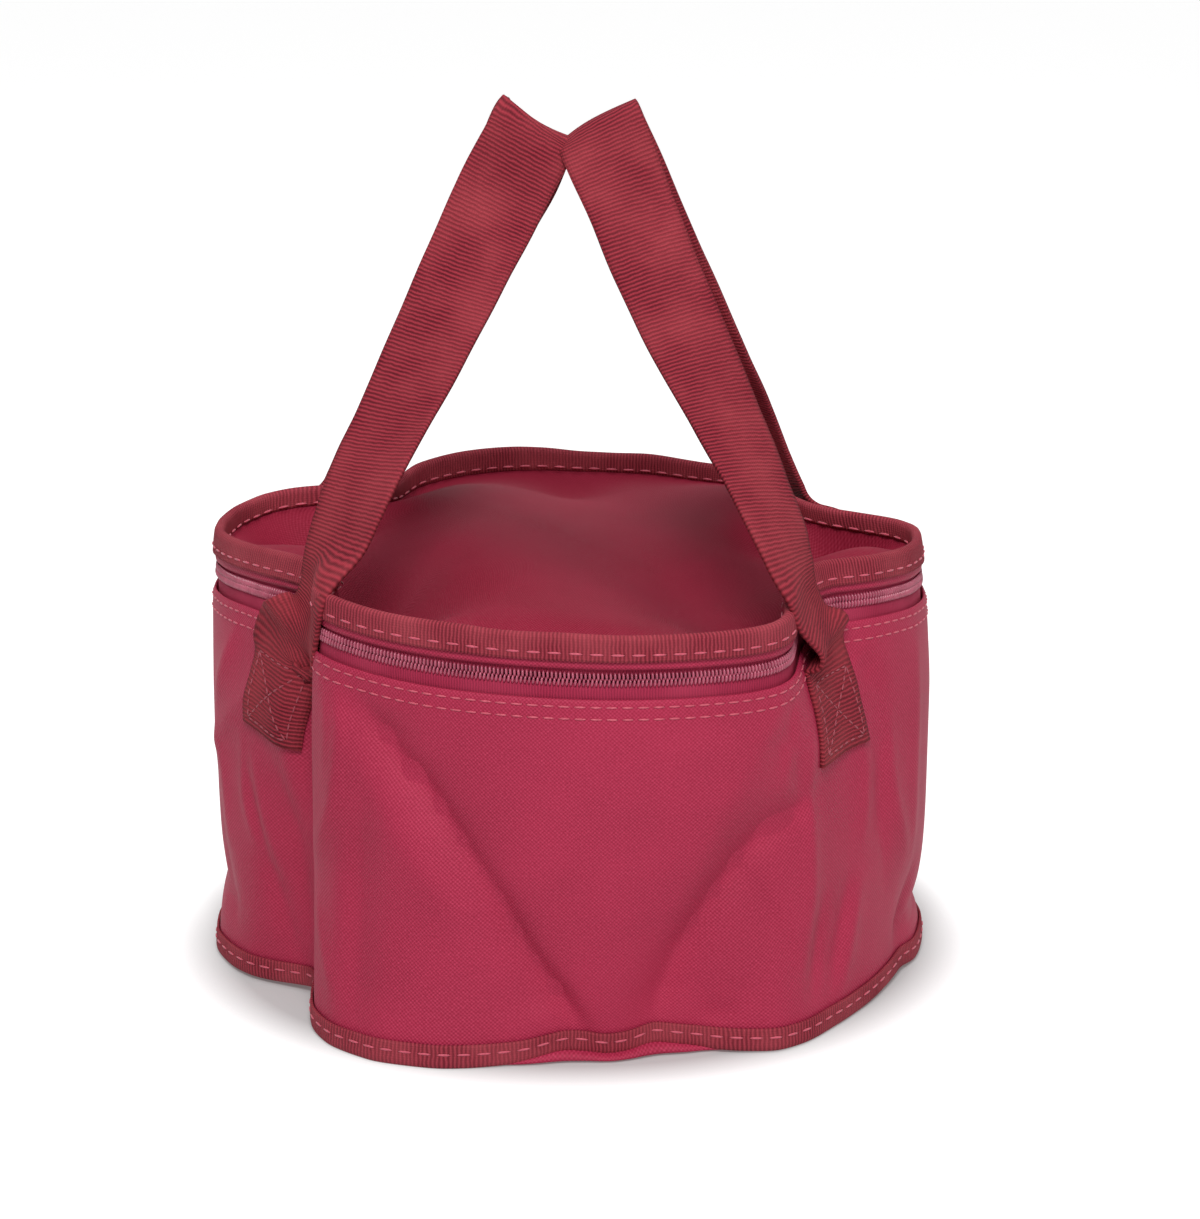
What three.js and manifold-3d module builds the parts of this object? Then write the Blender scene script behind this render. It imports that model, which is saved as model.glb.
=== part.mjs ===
// Round zipped carry bag for a flat cast-iron pot: a soft wall and bottom, a zipped lid that folds
// back along the line between its rear straps, and two webbing handles that lean together on top.
// Millimetres, +Z up, the front towards -Y. The origin is on the floor under the middle of the bag.
import * as THREE from 'three';
import Module from 'manifold-3d';

const wasm = await Module();
wasm.setup();

// Materials by thickness, and the gap left between two layers that touch
const fabric = 1.2;
const tape = 0.8;
const binding = 0.8;
const webbing = 1.5;
const webbingWide = 30;
const gap = 0.3;

// Heights, from the floor up
const wallHigh = 124.5;
const lowerTapeShown = 3.4;
const coilRow = 2.2;
const coilSplit = 1.4;
const coilDeep = 2.2;
const bandHigh = 11;
const bottomBindingHigh = 7.7;
const rimBindingHigh = 8.3;
const tapeHidden = 8;
const lidCrown = 4;

const patchHigh = 28;
const patchBelowEdge = 2;
const bulgeBelowPatch = 20;
const flareHigh = 28;
const waistHigh = 51;

const patchTop = wallHigh - patchBelowEdge;
const patchLow = patchTop - patchHigh;
const coilLow = wallHigh + lowerTapeShown;
const coilHigh = coilLow + 2 * coilRow + coilSplit;
const lidLow = coilHigh + gap;
const rimHigh = lidLow + bandHigh;
const zipMiddle = (coilLow + coilHigh) / 2;

// Plan of the bag: the half width of its belly, and how far inside that each lobe and each valley
// between two lobes lies at the floor, the flare, the waist, the sewn patches, the zipper and the rim
const belly = 124.2;
const floorLobeIn = 5.4;
const floorValleyIn = 12.2;
const flareLobeIn = 2.8;
const flareValleyIn = 11.2;
const waistLobeIn = 1.2;
const waistValleyIn = 11.2;
const bellyValleyIn = 11.7;
const patchValleyIn = 13.7;
const zipLobeIn = 1.4;
const zipValleyIn = 17.2;
const rimLobeIn = 2.4;
const rimValleyIn = 22.2;
const levels = [
  { z: 0, lobe: belly - floorLobeIn, valley: belly - floorValleyIn },
  { z: flareHigh, lobe: belly - flareLobeIn, valley: belly - flareValleyIn },
  { z: waistHigh, lobe: belly - waistLobeIn, valley: belly - waistValleyIn },
  { z: patchLow - bulgeBelowPatch, lobe: belly, valley: belly - bellyValleyIn },
  { z: patchLow, lobe: belly, valley: belly - patchValleyIn },
  { z: patchTop, lobe: belly - zipLobeIn, valley: belly - zipValleyIn },
  { z: lidLow + gap, lobe: belly - zipLobeIn, valley: belly - zipValleyIn },
  { z: rimHigh, lobe: belly - rimLobeIn, valley: belly - rimValleyIn },
];
const valleyBend = 40;
const valleyLift = 5;
const liftLong = 58;

// An empty bag doesn't stand evenly. Each row is one fuller or tucked-in part of the wall: where it
// starts and ends, in turns round the bag, how far it fades on both sides, and how far it stands out
// at the first five levels above. From the patches' lower edge up it runs out to nothing
const fullness = [
  { from: 2.33, to: 2.36, fade: 0.1, out: [-8.5, -9, -9, -7, -4] },
  { from: 2.67, to: 2.75, fade: 0.17, out: [13, 10, 8.5, 8, 8.5] },
  { from: 3.03, to: 3.11, fade: 0.11, out: [-5.5, -7, -6, -2.5, 0] },
  { from: 3.32, to: 3.59, fade: 0.1, out: [11, 11, 11, 8, 7] },
  { from: 0.3, to: 0.5, fade: 0.15, out: [1, -0.5, -1.5, -3, -3] },
  { from: 1.4, to: 1.65, fade: 0.1, out: [-1.3, -2.3, -2.6, -4, -4] },
  { from: 0.79, to: 0.87, fade: 0.09, out: [1, -0.5, -3, -3.5, -0.5] },
  { from: 1.18, to: 1.26, fade: 0.09, out: [1, -1, -2.8, -4, -1.5] },
];

// Sewn ends of the straps on the wall, and the back strip that holds the lid to the wall
const patchFromValley = 1;
const hingeStripHalf = 25;
const seamTapeWide = 12;

// Straps, in the leaning plane of each loop, where heights are measured up the plane from its swing
// axis: how far a leg lies inside the valleys at rising heights, and how its top fold is rounded
const lean = THREE.MathUtils.degToRad(26.6);
const swingBelowEdge = 1;
const swingOutside = 14.84;
const neckHigh = 15.5;
const legStand = 26;
const legBend = 49.5;
const legMiddle = 89;
const footInside = 7.7;
const standInside = 0.16;
const bendInside = 7.7;
const middleInside = 31.7;
const foldStart = { out: 1.25, down: 1.9 };
const foldShoulder = { out: 0.8, down: 0.55 };
const bow = 5;
const bowEnds = 110;
const twistEnds = 130;
const loopSteps = 34;
const leftLoop = { high: 173, fold: 7 };
const rightLoop = { high: 177.5, fold: 9 };

// Slider and its pull
const stopWide = 2.5;
const sliderSteps = 4;
const sliderLong = 11;
const sliderHigh = 8;
const sliderPlate = 1.2;
const sliderWeb = 0.8;
const runClear = 0.4;
const pinThick = 1.2;
const lugWide = 1.3;
const lugHigh = 2.6;
const knuckleWall = 0.9;
const pullLong = 20;
const pullWide = 5;

// Steps round one quarter of the outline; a lobe takes the first part and a valley the rest
const around = 4;
const quarterSteps = 20;
const lobeShare = 0.4;
const liftShare = 0.37;
const sameTurn = 1e-6;

const paints = {
  crimson: { color: '#a32f4d', roughness: 0.85, metalness: 0 },
  maroon: { color: '#8a3540', roughness: 0.8, metalness: 0 },
  webbing: { color: '#93404a', roughness: 0.8, metalness: 0 },
  tape: { color: '#7d2f45', roughness: 0.85, metalness: 0 },
  coil: { color: '#7a3f5e', roughness: 0.45, metalness: 0 },
  metal: { color: '#7d3148', roughness: 0.4, metalness: 0.6 },
};

// The level above a height, and the share of the way up to it from the one below
function levelAt(z) {
  const last = levels.length - 1;
  const held = THREE.MathUtils.clamp(z, levels[0].z, levels[last].z);
  const k = Math.min(levels.findIndex((row) => held <= row.z) || 1, last);
  return { k, share: (held - levels[k - 1].z) / (levels[k].z - levels[k - 1].z) };
}

// How far the wall stands out at one place, beyond its even lobes
function fullnessAt(turn, z) {
  const { k, share } = levelAt(z);
  const at = THREE.MathUtils.euclideanModulo(turn, around);
  return fullness.reduce((sum, { from, to, fade, out }) => {
    const near = THREE.MathUtils.smoothstep(at, from - fade, from)
      * (1 - THREE.MathUtils.smoothstep(at, to, to + fade));
    return sum + near * THREE.MathUtils.lerp(out[k - 1] ?? 0, out[k] ?? 0, share);
  }, 0);
}

// The outline's circles at one height: lobe centres lie on the axes, valley centres on the diagonals
function circlesAt(z) {
  const { k, share } = levelAt(z);
  const lobe = THREE.MathUtils.lerp(levels[k - 1].lobe, levels[k].lobe, share);
  const valley = THREE.MathUtils.lerp(levels[k - 1].valley, levels[k].valley, share);
  const outer = lobe + valleyBend;
  const inner = valley + valleyBend;
  const centre = (outer ** 2 - inner ** 2) / (2 * outer - Math.SQRT2 * inner);
  const corner = inner / Math.SQRT2;
  return { centre, radius: lobe - centre, corner, meet: Math.atan2(corner, corner - centre) };
}

// A place on the outline: whole turns are the lobes (0 right, 1 back, 2 left, 3 front), halves the
// valleys. The layer is how far the point lies outside the outer face of the wall.
function outline(turn, z, layer) {
  const { centre, radius, corner, meet } = circlesAt(z);
  const out = layer + fullnessAt(turn, z);
  const quarter = Math.round(turn);
  const away = turn - quarter;
  const side = Math.sign(away) || 1;
  const share = Math.abs(away);
  const point = new THREE.Vector2();
  if (share <= lobeShare) {
    const angle = (meet * share) / lobeShare;
    point.set(centre + (radius + out) * Math.cos(angle), (radius + out) * Math.sin(angle));
  } else {
    const angle = THREE.MathUtils.mapLinear(share, lobeShare, 0.5, meet, Math.PI / 4);
    const reach = valleyBend - out;
    point.set(corner - reach * Math.cos(angle), corner - reach * Math.sin(angle));
  }
  point.y *= side;
  return point.rotateAround(new THREE.Vector2(), (quarter * Math.PI) / 2);
}

// The straps pull the rim up a little where they cross it
function liftAt(turn, z) {
  const away = Math.abs(turn - Math.round(turn));
  const near = THREE.MathUtils.smoothstep(away, liftShare, 0.5);
  return valleyLift * near * THREE.MathUtils.smoothstep(z, wallHigh - liftLong, wallHigh);
}

function place(turn, { share = 1, layer = 0, z }) {
  const edge = outline(turn, z, layer);
  return new THREE.Vector3(edge.x * share, edge.y * share, z + liftAt(turn, z) * share ** 4);
}

// Makes one closed mesh of loose triangles: corners equal to a ten-thousandth of a millimetre are
// shared, and faces point out
function closeUp(triangles) {
  const points = [];
  const known = new Map();
  const number = (p) => {
    const key = [p.x, p.y, p.z].map((v) => Math.round(v * 1e4)).join();
    if (!known.has(key)) {
      known.set(key, points.length);
      points.push(p);
    }
    return known.get(key);
  };
  const faces = triangles.map((corners) => corners.map(number))
    .filter(([i, j, k]) => i !== j && j !== k && k !== i);
  const volume = faces.reduce((sum, [i, j, k]) => {
    return sum + points[i].dot(new THREE.Vector3().crossVectors(points[j], points[k]));
  }, 0);
  const outward = volume > 0 ? faces : faces.map(([i, j, k]) => [i, k, j]);
  return new THREE.BufferGeometry().setFromPoints(points).setIndex(outward.flat());
}

// Joins rows of points into one closed body. Each four-sided patch is split from its low corner in
// one row to its high corner in the next, so that layers of one outline stay parallel
function skin(rows, round, caps) {
  const triangles = [];
  const count = rows.length;
  for (let r = 0; r < (round ? count : count - 1); r += 1) {
    const here = rows[r];
    const next = rows[(r + 1) % count];
    here.forEach((point, i) => {
      const after = (i + 1) % here.length;
      if (point.z <= here[after].z) {
        triangles.push([point, next[i], next[after]], [point, next[after], here[after]]);
      } else {
        triangles.push([point, next[i], here[after]], [next[i], next[after], here[after]]);
      }
    });
  }
  if (!round) {
    const last = rows[count - 1];
    caps.forEach(([a, b, c]) => {
      triangles.push([rows[0][a], rows[0][b], rows[0][c]], [last[a], last[c], last[b]]);
    });
  }
  return closeUp(triangles);
}

// An upright side of a section follows the outline, so it takes a point at each level it passes, and
// where the bottom binding ends and the zipper's tape starts, so that the wall stays parallel to both
const rowHeights = [bottomBindingHigh, wallHigh - tapeHidden, ...levels.map((row) => row.z)];
function followLevels(section) {
  return section.flatMap((point, i) => {
    const next = section[(i + 1) % section.length];
    if (point.share !== undefined || point.layer !== next.layer) return [point];
    const rising = Math.sign(next.z - point.z);
    const passed = rowHeights
      .filter((z) => rising * (z - point.z) > 1e-3 && rising * (next.z - z) > 1e-3)
      .sort((a, b) => rising * (a - b));
    return [point, ...passed.map((z) => ({ layer: point.layer, z }))];
  });
}

// Carries a section of layers and heights round the outline, all the way or along a stretch of it
function sweep(shape, turns, round = false) {
  const section = followLevels(shape);
  const flat = section.map((point) => {
    const { x, y, z } = place(turns[0], point);
    return new THREE.Vector2(Math.hypot(x, y), z);
  });
  const clockwise = THREE.ShapeUtils.isClockWise(flat);
  const ordered = clockwise ? [...section].reverse() : section;
  const caps = THREE.ShapeUtils.triangulateShape(clockwise ? flat.reverse() : flat, []);
  const rows = turns.map((turn) => ordered.map((point) => place(turn, point)));
  return skin(rows, round, caps);
}

const slab = (inner, outer, low, high) => [
  { layer: inner, z: low }, { layer: outer, z: low }, { layer: outer, z: high }, { layer: inner, z: high },
];

// Lengths along the outline, as parts of a turn: from a lobe's middle, and back from a valley
function turnsFromLobe(length, z, layer) {
  const { radius, meet } = circlesAt(z);
  return (lobeShare * length) / ((radius + layer) * meet);
}
function turnsFromValley(length, z, layer) {
  const { meet } = circlesAt(z);
  const bend = (valleyBend - layer) * (meet - Math.PI / 4);
  if (length < bend) return ((0.5 - lobeShare) * length) / bend;
  return 0.5 - lobeShare + turnsFromLobe(length - bend, z, layer);
}

function toSolid(geometry) {
  return new wasm.Manifold(new wasm.Mesh({
    numProp: 3,
    vertProperties: new Float32Array(geometry.getAttribute('position').array),
    triVerts: new Uint32Array(geometry.getIndex().array),
  }));
}
function toGeometry(solid) {
  const mesh = solid.getMesh();
  const geometry = new THREE.BufferGeometry();
  geometry.setAttribute('position', new THREE.BufferAttribute(new Float32Array(mesh.vertProperties), 3));
  geometry.setIndex(new THREE.BufferAttribute(new Uint32Array(mesh.triVerts), 1));
  return geometry;
}
function extrude(shape, depth) {
  const loose = new THREE.ExtrudeGeometry(shape, { depth, bevelEnabled: false, curveSegments: 10 });
  const flat = loose.getAttribute('position');
  const corner = (i) => new THREE.Vector3().fromBufferAttribute(flat, i);
  return closeUp(Array.from({ length: flat.count / 3 }, (_, k) => [0, 1, 2].map((i) => corner(3 * k + i))));
}

const bag = new THREE.Group();
function add(name, geometry, paint) {
  const shaded = geometry.toNonIndexed();
  shaded.computeVertexNormals();
  const mesh = new THREE.Mesh(shaded, new THREE.MeshStandardMaterial(paints[paint]));
  mesh.name = name;
  bag.add(mesh);
  return mesh;
}

// Layers, counted outwards from the wall's outer face
const behindWall = -fabric - gap;
const tapeBack = behindWall - tape;
const tapeMiddle = behindWall - tape / 2;
const coilBack = tapeMiddle - coilDeep / 2;
const coilFront = tapeMiddle + coilDeep / 2;
const flangeBack = behindWall - fabric;

const patchNear = turnsFromValley(patchFromValley, patchTop, gap);
const patchFar = turnsFromValley(patchFromValley + webbingWide, patchTop, gap);
const corners = [
  { name: 'back_right', side: 1, end: 1, low: 0.5 - patchFar, high: 0.5 - patchNear },
  { name: 'back_left', side: -1, end: 1, low: 1.5 + patchNear, high: 1.5 + patchFar },
  { name: 'front_left', side: -1, end: -1, low: 2.5 - patchFar, high: 2.5 - patchNear },
  { name: 'front_right', side: 1, end: -1, low: 3.5 + patchNear, high: 3.5 + patchFar },
];

// The turns that every layer has a row of points at, with a row under each edge of a sewn patch, so
// that layers stay parallel; and those along a stretch of the outline
const evenTurns = Array.from({ length: around * quarterSteps }, (_, k) => k / quarterSteps);
const patchEdges = corners.flatMap(({ low, high }) => [low, high]);
const fullRound = [...evenTurns, ...patchEdges].sort((a, b) => a - b);
function stretch(from, to) {
  const between = [0, around].flatMap((lap) => fullRound.map((turn) => turn + lap))
    .filter((turn) => turn - from > sameTurn && to - turn > sameTurn);
  return [from, ...between, to];
}

// Body wall: one tall strip of fabric with its lower edge in the bottom binding
add('body_wall', sweep(slab(-fabric, 0, binding + gap, wallHigh), fullRound, true), 'crimson');

// Bottom binding: a folded tape that wraps the seam between wall and bottom, flat on the floor
const bindingSection = (fold, outerEnd, innerEnd, inner) => {
  const inside = fold + Math.sign(outerEnd - fold) * binding;
  return [
    { layer: inner - gap - binding, z: fold },
    { layer: gap + binding, z: fold },
    { layer: gap + binding, z: outerEnd },
    { layer: gap, z: outerEnd },
    { layer: gap, z: inside },
    { layer: inner - gap, z: inside },
    { layer: inner - gap, z: innerEnd },
    { layer: inner - gap - binding, z: innerEnd },
  ];
};
const bottomBinding = bindingSection(0, bottomBindingHigh, bottomBindingHigh, -fabric);
add('bottom_binding', sweep(bottomBinding, fullRound, true), 'maroon');

// Bottom panel: a flat disc of fabric inside the binding
const floorEdge = -fabric - 2 * gap - binding;
add('bottom_panel', sweep([
  { share: 0, z: 0 }, { share: 1, layer: floorEdge, z: 0 },
  { share: 1, layer: floorEdge, z: fabric }, { share: 0, z: fabric },
], fullRound, true), 'crimson');

// Inside binding over the wall's one upright seam, at the middle of the back
const seamHalf = turnsFromLobe(seamTapeWide / 2, wallHigh / 2, behindWall);
add('back_seam_binding', sweep(
  slab(tapeBack, behindWall, bottomBindingHigh + gap, wallHigh - tapeHidden - gap),
  stretch(1 - seamHalf, 1 + seamHalf),
), 'maroon');

// Hinge strip: the short piece of fabric at the back where the lid stays joined to the wall
const hingeHalf = turnsFromLobe(hingeStripHalf, zipMiddle, tapeMiddle);
const lidPanelLow = rimHigh - rimBindingHigh + gap;
const upperTapeHigh = lidPanelLow - gap;
add('hinge_strip', sweep(
  slab(behindWall - fabric, behindWall, wallHigh - tapeHidden, upperTapeHigh),
  stretch(1 - hingeHalf, 1 + hingeHalf),
), 'crimson');

// Zipper: tape and coil below, tape and coil above, and an end stop each side of the hinge strip
const split = turnsFromLobe(gap, zipMiddle, tapeMiddle);
const stopTurns = turnsFromLobe(stopWide, zipMiddle, tapeMiddle);
const zipLeft = 1 + hingeHalf + split;
const zipRight = around + 1 - hingeHalf - split;
const coilLeft = zipLeft + stopTurns + split;
const coilRight = zipRight - stopTurns - split;
const lowerTape = slab(tapeBack, behindWall, wallHigh - tapeHidden, coilLow - gap);
const lowerCoil = slab(coilBack, coilFront, coilLow, coilLow + coilRow);
const upperCoil = slab(coilBack, coilFront, coilHigh - coilRow, coilHigh);
const upperTape = slab(tapeBack, behindWall, coilHigh + gap, upperTapeHigh);
add('lower_zipper_tape', sweep(lowerTape, stretch(zipLeft, zipRight)), 'tape');
add('lower_zipper_coil', sweep(lowerCoil, stretch(coilLeft, coilRight)), 'coil');
const stopSection = slab(coilBack, coilFront, coilLow, coilHigh);
add('zipper_stop_left', sweep(stopSection, stretch(zipLeft, zipLeft + stopTurns)), 'coil');
add('zipper_stop_right', sweep(stopSection, stretch(zipRight - stopTurns, zipRight)), 'coil');

// The lid is cut through the two rear valleys: the back lobe stays, and the rest folds up
const foldLeft = 1.5;
const foldRight = around + 0.5;
const backLeft = stretch(coilLeft, foldLeft - split);
const backRight = stretch(foldRight + split, coilRight);
const front = stretch(foldLeft + split, foldRight - split);
const back = stretch(foldRight - around + split, foldLeft - split);
add('upper_coil_back_left', sweep(upperCoil, backLeft), 'coil');
add('upper_coil_back_right', sweep(upperCoil, backRight), 'coil');
add('upper_coil_front', sweep(upperCoil, front), 'coil');
const tapeLeft = stretch(zipLeft, foldLeft - split);
const tapeRight = stretch(foldRight + split, zipRight);
add('upper_tape_back_left', sweep(upperTape, tapeLeft), 'tape');
add('upper_tape_back_right', sweep(upperTape, tapeRight), 'tape');
add('upper_tape_front', sweep(upperTape, front), 'tape');

const bandTop = rimHigh - binding - gap;
const bandSection = [
  { layer: -fabric, z: lidLow }, { layer: 0, z: lidLow }, { layer: 0, z: upperTapeHigh },
  { layer: 0, z: bandTop }, { layer: -fabric, z: bandTop }, { layer: -fabric, z: upperTapeHigh },
];
add('lid_band_front', sweep(bandSection, front), 'crimson');
add('lid_band_back', sweep(bandSection, back), 'crimson');

// Rim binding: the same folded tape upside down over the lid's standing seam
const panelTop = lidPanelLow + fabric;
const rimSection = bindingSection(rimHigh, rimHigh - rimBindingHigh, panelTop + gap, flangeBack);
add('rim_binding_front', sweep(rimSection, front), 'maroon');
add('rim_binding_back', sweep(rimSection, back), 'maroon');

// Lid panel: crowned fabric with its edge turned up inside the rim binding
const crownShares = [0, 0.3, 0.6, 0.85];
const crownAt = (share) => lidCrown * (1 - share ** 2);
const lidPanel = toSolid(sweep([
  ...crownShares.map((share) => ({ share, z: lidPanelLow + crownAt(share) })),
  { layer: behindWall, z: lidPanelLow },
  { layer: behindWall, z: bandTop },
  { layer: flangeBack, z: bandTop },
  { layer: flangeBack, z: panelTop },
  ...[...crownShares].reverse().map((share) => ({ share, z: panelTop + crownAt(share) })),
], fullRound, true));

// The back of the lid, cut off along the fold and then out to the corners, as a block in plan
const foldLine = (belly - rimValleyIn - 2 * gap - 3 * fabric) / Math.SQRT2;
const pastEdge = belly + fabric;
function backWedge(shift) {
  const near = foldLine + shift;
  const aside = Math.SQRT2 * shift;
  const plan = new THREE.Shape([
    new THREE.Vector2(aside - near, near), new THREE.Vector2(near - aside, near),
    new THREE.Vector2(pastEdge - aside, pastEdge), new THREE.Vector2(aside - pastEdge, pastEdge),
  ]);
  return toSolid(extrude(plan, rimHigh + bandHigh - wallHigh).translate(0, 0, wallHigh));
}
add('lid_panel_front', toGeometry(lidPanel.subtract(backWedge(-gap / 2))), 'maroon');
add('lid_panel_back', toGeometry(lidPanel.intersect(backWedge(gap / 2))), 'maroon');

// Sewn ends: the last of each strap, flat on the wall beside a valley
const patchSection = slab(gap, gap + webbing, patchLow, patchTop);
corners.forEach(({ name, low, high }) => {
  add(`strap_end_${name}`, sweep(patchSection, stretch(low, high)), 'webbing');
});

// A place in a loop's leaning plane: forward of the middle, and up the plane from the swing axis
const valleyCorner = (belly - zipValleyIn) / Math.SQRT2;
function inPlane(side, forward, up) {
  const outward = bow * Math.sin((Math.PI * THREE.MathUtils.clamp(up, 0, bowEnds)) / bowEnds) ** 2;
  const x = valleyCorner + swingOutside - up * Math.sin(lean) + outward * Math.cos(lean);
  const z = wallHigh - swingBelowEdge + up * Math.cos(lean) + outward * Math.sin(lean);
  return new THREE.Vector3(side * x, forward, z);
}

// The way the webbing's width points, towards the side lobe: along the wall at the foot, across the
// valley at the rim, and level with the leaning plane higher up
const wallWay = outline(0.5 - patchFar, patchTop, 0).sub(outline(0.5 - patchNear, patchTop, 0));
function widthWay(side, forward, up) {
  const end = Math.sign(forward);
  const way = new THREE.Vector3(side * wallWay.x, end * wallWay.y, 0).normalize();
  const rim = new THREE.Vector3(side, -end, 0).normalize();
  const top = new THREE.Vector3(side * Math.cos(lean), 0, Math.sin(lean));
  way.lerp(rim, THREE.MathUtils.smoothstep(up, 0, legStand));
  return way.lerp(top, THREE.MathUtils.smoothstep(up, legStand, twistEnds)).normalize();
}

// One leg's line, from its foot to the fold at the top of the loop
function legLine({ high, fold }) {
  return new THREE.CatmullRomCurve3([
    [valleyCorner - footInside, 0], [valleyCorner - standInside, legStand],
    [valleyCorner - bendInside, legBend], [valleyCorner - middleInside, legMiddle],
    [foldStart.out * fold, high - foldStart.down * fold],
    [foldShoulder.out * fold, high - foldShoulder.down * fold], [0, high],
  ].map(([forward, up]) => new THREE.Vector3(forward, up, 0))).getSpacedPoints(loopSteps);
}
function legFrom(line, up) {
  const next = line.findIndex((p) => p.y > up);
  const share = (up - line[next - 1].y) / (line[next].y - line[next - 1].y);
  return [line[next - 1].clone().lerp(line[next], share), ...line.slice(next)];
}

// The webbing's two axes at a point of its path: across its width, and through its thickness
function axesAt(before, after, way) {
  const along = after.clone().sub(before).normalize();
  const across = way.clone().addScaledVector(along, -way.dot(along)).normalize();
  return { across, through: new THREE.Vector3().crossVectors(along, across) };
}
function webbingPoint(centre, { across, through }, wide, thick) {
  return centre.clone().addScaledVector(across, wide).addScaledVector(through, thick);
}

function addLoop(name, side, line) {
  const leg = legFrom(line, neckHigh + gap);
  const whole = [...leg, ...leg.slice(0, -1).reverse().map((p) => new THREE.Vector3(-p.x, p.y, 0))];
  const path = whole.map((p) => inPlane(side, p.x, p.y));
  const rows = path.map((centre, i) => {
    const before = path[Math.max(i - 1, 0)];
    const after = path[Math.min(i + 1, path.length - 1)];
    const axes = axesAt(before, after, widthWay(side, whole[i].x, whole[i].y));
    return [[-1, -1], [1, -1], [1, 1], [-1, 1]].map(([u, v]) => {
      return webbingPoint(centre, axes, (u * webbingWide) / 2, (v * webbing) / 2);
    });
  });
  add(`strap_${name}_loop`, skin(rows, false, [[0, 1, 2], [0, 2, 3]]), 'webbing');
}

// The short bend between a sewn end and its loop, where the webbing turns when the loop swings
function addBend(corner, line) {
  const { name, low, high, side, end } = corner;
  const [top, next] = legFrom(line, neckHigh);
  const centre = inPlane(side, end * top.x, top.y);
  const axes = axesAt(centre, inPlane(side, end * next.x, next.y), widthWay(side, end, top.y));
  const outward = Math.sign(axes.through.x * side + axes.through.y * end);
  const lobeEnd = side * end > 0 ? low : high;
  const rows = stretch(low, high).map((turn) => {
    const wide = webbingWide * (0.5 - Math.abs(turn - lobeEnd) / (high - low));
    const foot = (layer) => place(turn, { layer, z: patchTop }).add(new THREE.Vector3(0, 0, gap));
    const head = (way) => webbingPoint(centre, axes, wide, (way * outward * webbing) / 2);
    return [foot(gap), foot(gap + webbing), head(1), head(-1)];
  });
  add(`strap_bend_${name}`, skin(rows, false, [[0, 1, 2], [0, 2, 3]]), 'webbing');
}
[['left', -1, leftLoop], ['right', 1, rightLoop]].forEach(([name, side, loop]) => {
  const line = legLine(loop);
  addLoop(name, side, line);
  corners.filter((corner) => corner.side === side).forEach((corner) => addBend(corner, line));
});

// Slider: two plates joined by a web between the coil rows, with a pin that its pull hangs on. It
// stands at the closed end of the zipper, and runs along the round part of the back lobe
const sliderLow = zipMiddle - sliderHigh / 2;
const sliderTop = zipMiddle + sliderHigh / 2;
const webLow = zipMiddle - sliderWeb / 2;
const webTop = zipMiddle + sliderWeb / 2;
const outerPlate = runClear;
const innerPlate = coilBack - runClear;
const sliderStart = coilLeft + turnsFromLobe(runClear, zipMiddle, tapeMiddle);
const sliderEnd = sliderStart + turnsFromLobe(sliderLong, zipMiddle, tapeMiddle);
const sliderMiddle = (sliderStart + sliderEnd) / 2;
const sliderTurns = Array.from({ length: sliderSteps + 1 }, (_, k) => {
  return THREE.MathUtils.lerp(sliderStart, sliderEnd, k / sliderSteps);
});
const plates = toSolid(sweep([
  { layer: innerPlate - sliderPlate, z: sliderLow }, { layer: innerPlate, z: sliderLow },
  { layer: innerPlate, z: webLow }, { layer: outerPlate, z: webLow },
  { layer: outerPlate, z: sliderLow }, { layer: outerPlate + sliderPlate, z: sliderLow },
  { layer: outerPlate + sliderPlate, z: sliderTop }, { layer: outerPlate, z: sliderTop },
  { layer: outerPlate, z: webTop }, { layer: innerPlate, z: webTop },
  { layer: innerPlate, z: sliderTop }, { layer: innerPlate - sliderPlate, z: sliderTop },
], sliderTurns));

const knuckleHole = (pinThick / 2) * Math.SQRT2 + gap;
const knuckle = knuckleHole + knuckleWall;
const pinLayer = outerPlate + sliderPlate + gap + knuckle;
const pinHalf = pullWide / 2 + gap;
function sliderPart(from, to, inner, outer, high) {
  const turns = [from, to].map((length) => sliderMiddle + turnsFromLobe(length, zipMiddle, tapeMiddle));
  return toSolid(sweep(slab(inner, outer, zipMiddle - high / 2, zipMiddle + high / 2), turns));
}
const lugTo = pinLayer + pinThick;
const lugFoot = outerPlate + sliderPlate / 2;
const slider = plates
  .add(sliderPart(-pinHalf - lugWide, -pinHalf, lugFoot, lugTo, lugHigh))
  .add(sliderPart(pinHalf, pinHalf + lugWide, lugFoot, lugTo, lugHigh))
  .add(sliderPart(-pinHalf - lugWide / 2, pinHalf + lugWide / 2, pinLayer - pinThick / 2,
    pinLayer + pinThick / 2, pinThick));
add('zipper_slider', toGeometry(slider), 'metal');

// Pull: a flat tongue with a knuckle round the slider's pin, hanging against the wall
const pullHalf = sliderPlate / 2;
const pullShape = new THREE.Shape();
const pullNeck = Math.asin(pullHalf / knuckle);
pullShape.absarc(0, 0, knuckle, pullNeck - Math.PI / 2, 1.5 * Math.PI - pullNeck);
pullShape.lineTo(-pullHalf, -pullLong);
pullShape.lineTo(pullHalf, -pullLong);
const pullHole = new THREE.Path();
pullHole.absarc(0, 0, knuckleHole, 0, 2 * Math.PI, true);
pullShape.holes.push(pullHole);
const pull = add('slider_pull', extrude(pullShape, pullWide).translate(0, 0, -pullWide / 2), 'metal');
const pinAt = place(sliderMiddle, { layer: pinLayer, z: zipMiddle });
const lobeMiddle = place(1, { layer: -circlesAt(zipMiddle).radius, z: zipMiddle });
const outwards = pinAt.clone().sub(lobeMiddle).normalize();
const upwards = new THREE.Vector3(0, 0, 1);
const sideways = new THREE.Vector3().crossVectors(outwards, upwards);
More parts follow.
